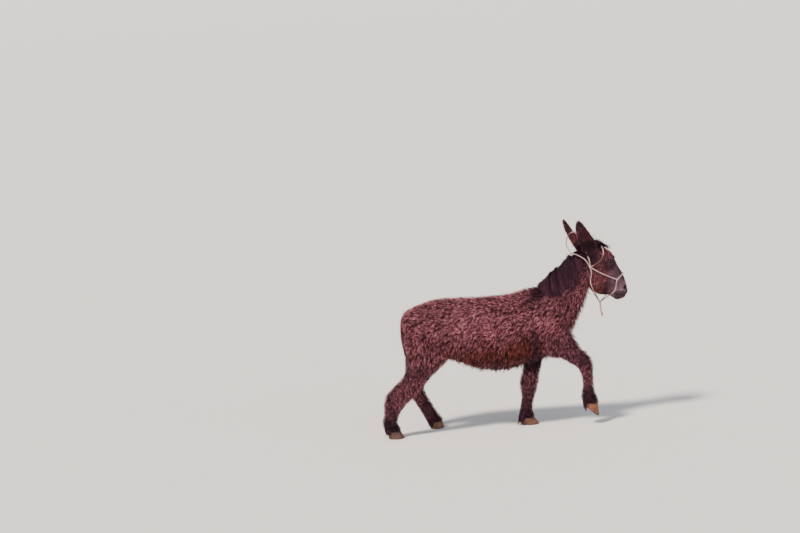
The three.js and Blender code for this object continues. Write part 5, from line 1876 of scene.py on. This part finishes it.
class DONKEY_OT_feather(bpy.types.Operator):
    """The long hair behind the fetlocks and the tuft of the tail"""

    bl_idname = "donkey.feather"
    bl_label = "Feather and tail"

    def execute(self, context):
        look = context.scene.donkey_look
        rng = np.random.default_rng(SEEDS["feather"])
        paths, outward = [], []
        each, locks = 520, 12
        for name, form in LEG_FORMS.items():
            last = len(LEGS[name]) - 1
            t = (last - 2.4 + 1.5 * rng.uniform(size=each)) / last
            lock = rng.integers(0, locks, each)
            centre = math.pi + 0.95 * np.linspace(-1, 1, locks)[lock]
            phi = centre + 0.12 * rng.normal(size=each)
            shared = rng.normal(size=(locks, 2))[lock]
            root = form.at(t, phi, -1)
            out = unit(form.at(t, phi, 10) - root)
            foot = unit(form.at(1.0, math.pi) - form.at(0.86, math.pi))
            behind = 0.5 - 0.5 * np.cos(phi)
            longer = np.clip(shared[:, 0] - 0.2, 0, 1.2)
            reach = (38 + 32 * behind + 9 * shared[:, 0] + 16 * longer)[:, None]
            bend = root + out * 16 + foot * reach * 0.4
            tip = form.at(t, centre, -1) + foot * reach * 1.05
            tip = tip + out * (16 + 7 * shared[:, 1:] + 16 * longer[:, None])
            tip = tip + 3 * rng.normal(size=(each, 3))
            tip[:, 2] = np.maximum(tip[:, 2], 5)
            paths.append(np.stack([root, bend, tip], 1))
            outward.append(out)
        paths, outward = np.concatenate(paths), np.concatenate(outward)
        widths = 3.0 + 1.2 * rng.uniform(size=len(paths))
        strands("feather", "coat_leg", look, bezier(paths, 5), widths, outward, rng, dark=0.85)
        self.tail(look, rng)
        return {"FINISHED"}

    def tail(self, look, rng):
        """The tuft of the tail, longest at its end."""
        count = 1300
        t = 0.3 + 0.64 * rng.uniform(size=count) ** 0.7
        phi = 2 * math.pi * rng.uniform(size=count)
        root = TAIL_FORM.at(t, phi, -1)
        out = unit(TAIL_FORM.at(t, phi, 10) - root)
        reach = (60 + 60 * rng.uniform(size=count) * smooth(t, 0.3, 0.6))[:, None]
        down = np.array([0.05, 0, -1.0])
        bend = root + out * 11 + down * reach * 0.45
        tip = root + out * (2 + 5 * rng.normal(size=(count, 1))) + down * reach
        tip[:, 2] = np.maximum(tip[:, 2], 436)
        widths = 4.0 + rng.uniform(size=count)
        paths = np.stack([root, bend, tip], 1)
        strands("tail_tuft", "coat_dark", look, bezier(paths, 6), widths, out, rng, dark=0.5)


# ---- stage ----
FILL_SHARE = 0.27  # of the key lamp's strength


class DONKEY_OT_stage(bpy.types.Operator):
    """A pale paper floor that rises all round, a large soft lamp, a fill and the room"""

    bl_idname = "donkey.stage"
    bl_label = "Stage"

    def execute(self, context):
        settings = context.scene.donkey_stage
        reach, bend, sides = 60.0, 14.0, 96
        profile = [(reach * 0.98, 0.0), (reach, 0.0)]
        profile += [
            (reach + bend * math.sin(a), bend * (1 - math.cos(a)))
            for a in np.linspace(0, math.pi / 2, 12)[1:]
        ]
        turn = [2 * math.pi * i / sides for i in range(sides)]
        points = [(r * math.cos(a), r * math.sin(a), z) for r, z in profile for a in turn]
        rings = np.roll(tube_quads(len(profile), sides)[:, ::-1], 1, axis=1)
        mesh = bpy.data.meshes.new("floor")
        mesh.from_pydata(points, [], [tuple(range(sides)), *rings.tolist()])
        mesh.shade_smooth()
        mesh.materials.append(floor_material(settings.floor_colour))
        floor = bpy.data.objects.new("floor", mesh)
        context.scene.collection.objects.link(floor)
        floor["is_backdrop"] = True
        self.lamp("key", (-0.55, -0.5, 1.0), 11, settings.key, "#fff4e8")
        self.lamp("fill", (0.8, -0.9, 0.45), 60, settings.key * FILL_SHARE, "#eef2ff")
        world = bpy.data.worlds.new("room")
        world.use_nodes = True
        background = world.node_tree.nodes["Background"]
        background.inputs["Color"].default_value = (0.84, 0.89, 1, 1)
        background.inputs["Strength"].default_value = 0.55
        context.scene.world = world
        return {"FINISHED"}

    def lamp(self, name, way, spread, strength, code):
        """A far lamp that shines from a way, as wide as `spread` degrees in the sky."""
        light = bpy.data.lights.new(name, "SUN")
        light.angle, light.energy, light.color = math.radians(spread), strength, linear(code)
        lamp = bpy.data.objects.new(name, light)
        lamp.rotation_euler = Vector(way).to_track_quat("Z", "Y").to_euler()
        bpy.context.scene.collection.objects.link(lamp)


# ---- panel ----
STEPS = (
    DONKEY_OT_camera,
    DONKEY_OT_free_end,
    DONKEY_OT_halter,
    DONKEY_OT_skin,
    DONKEY_OT_eyes,
    DONKEY_OT_hooves,
    DONKEY_OT_coat,
    DONKEY_OT_mane,
    DONKEY_OT_feather,
    DONKEY_OT_stage,
)
GROUPS = {
    "donkey_look": DonkeyLook,
    "donkey_coat": DonkeyCoat,
    "donkey_halter": DonkeyHalter,
    "donkey_stage": DonkeyStage,
}


class DONKEY_PT_panel(bpy.types.Panel):
    """Settings and steps of the donkey"""

    bl_idname = "DONKEY_PT_panel"
    bl_label = "Donkey"
    bl_space_type = "VIEW_3D"
    bl_region_type = "UI"
    bl_category = "Donkey"

    def draw(self, context):
        for name, group in GROUPS.items():
            settings = getattr(context.scene, name)
            for key in group.__annotations__:
                self.layout.prop(settings, key)
        for step in STEPS:
            self.layout.operator(step.bl_idname)


def register():
    for thing in (*GROUPS.values(), *STEPS, DONKEY_PT_panel):
        bpy.utils.register_class(thing)
    for name, group in GROUPS.items():
        setattr(bpy.types.Scene, name, bpy.props.PointerProperty(type=group))


def unregister():
    for name in GROUPS:
        delattr(bpy.types.Scene, name)
    for thing in (DONKEY_PT_panel, *STEPS, *GROUPS.values()):
        bpy.utils.unregister_class(thing)


def main():
    register()
    for step in STEPS:
        group, name = step.bl_idname.split(".")
        getattr(getattr(bpy.ops, group), name)()
    boxes = {"solids": SOLIDS_BOX, "dressed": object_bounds()}
    plain = {key: [[float(v) for v in corner] for corner in box] for key, box in boxes.items()}


if __name__ == "__main__":
    main()
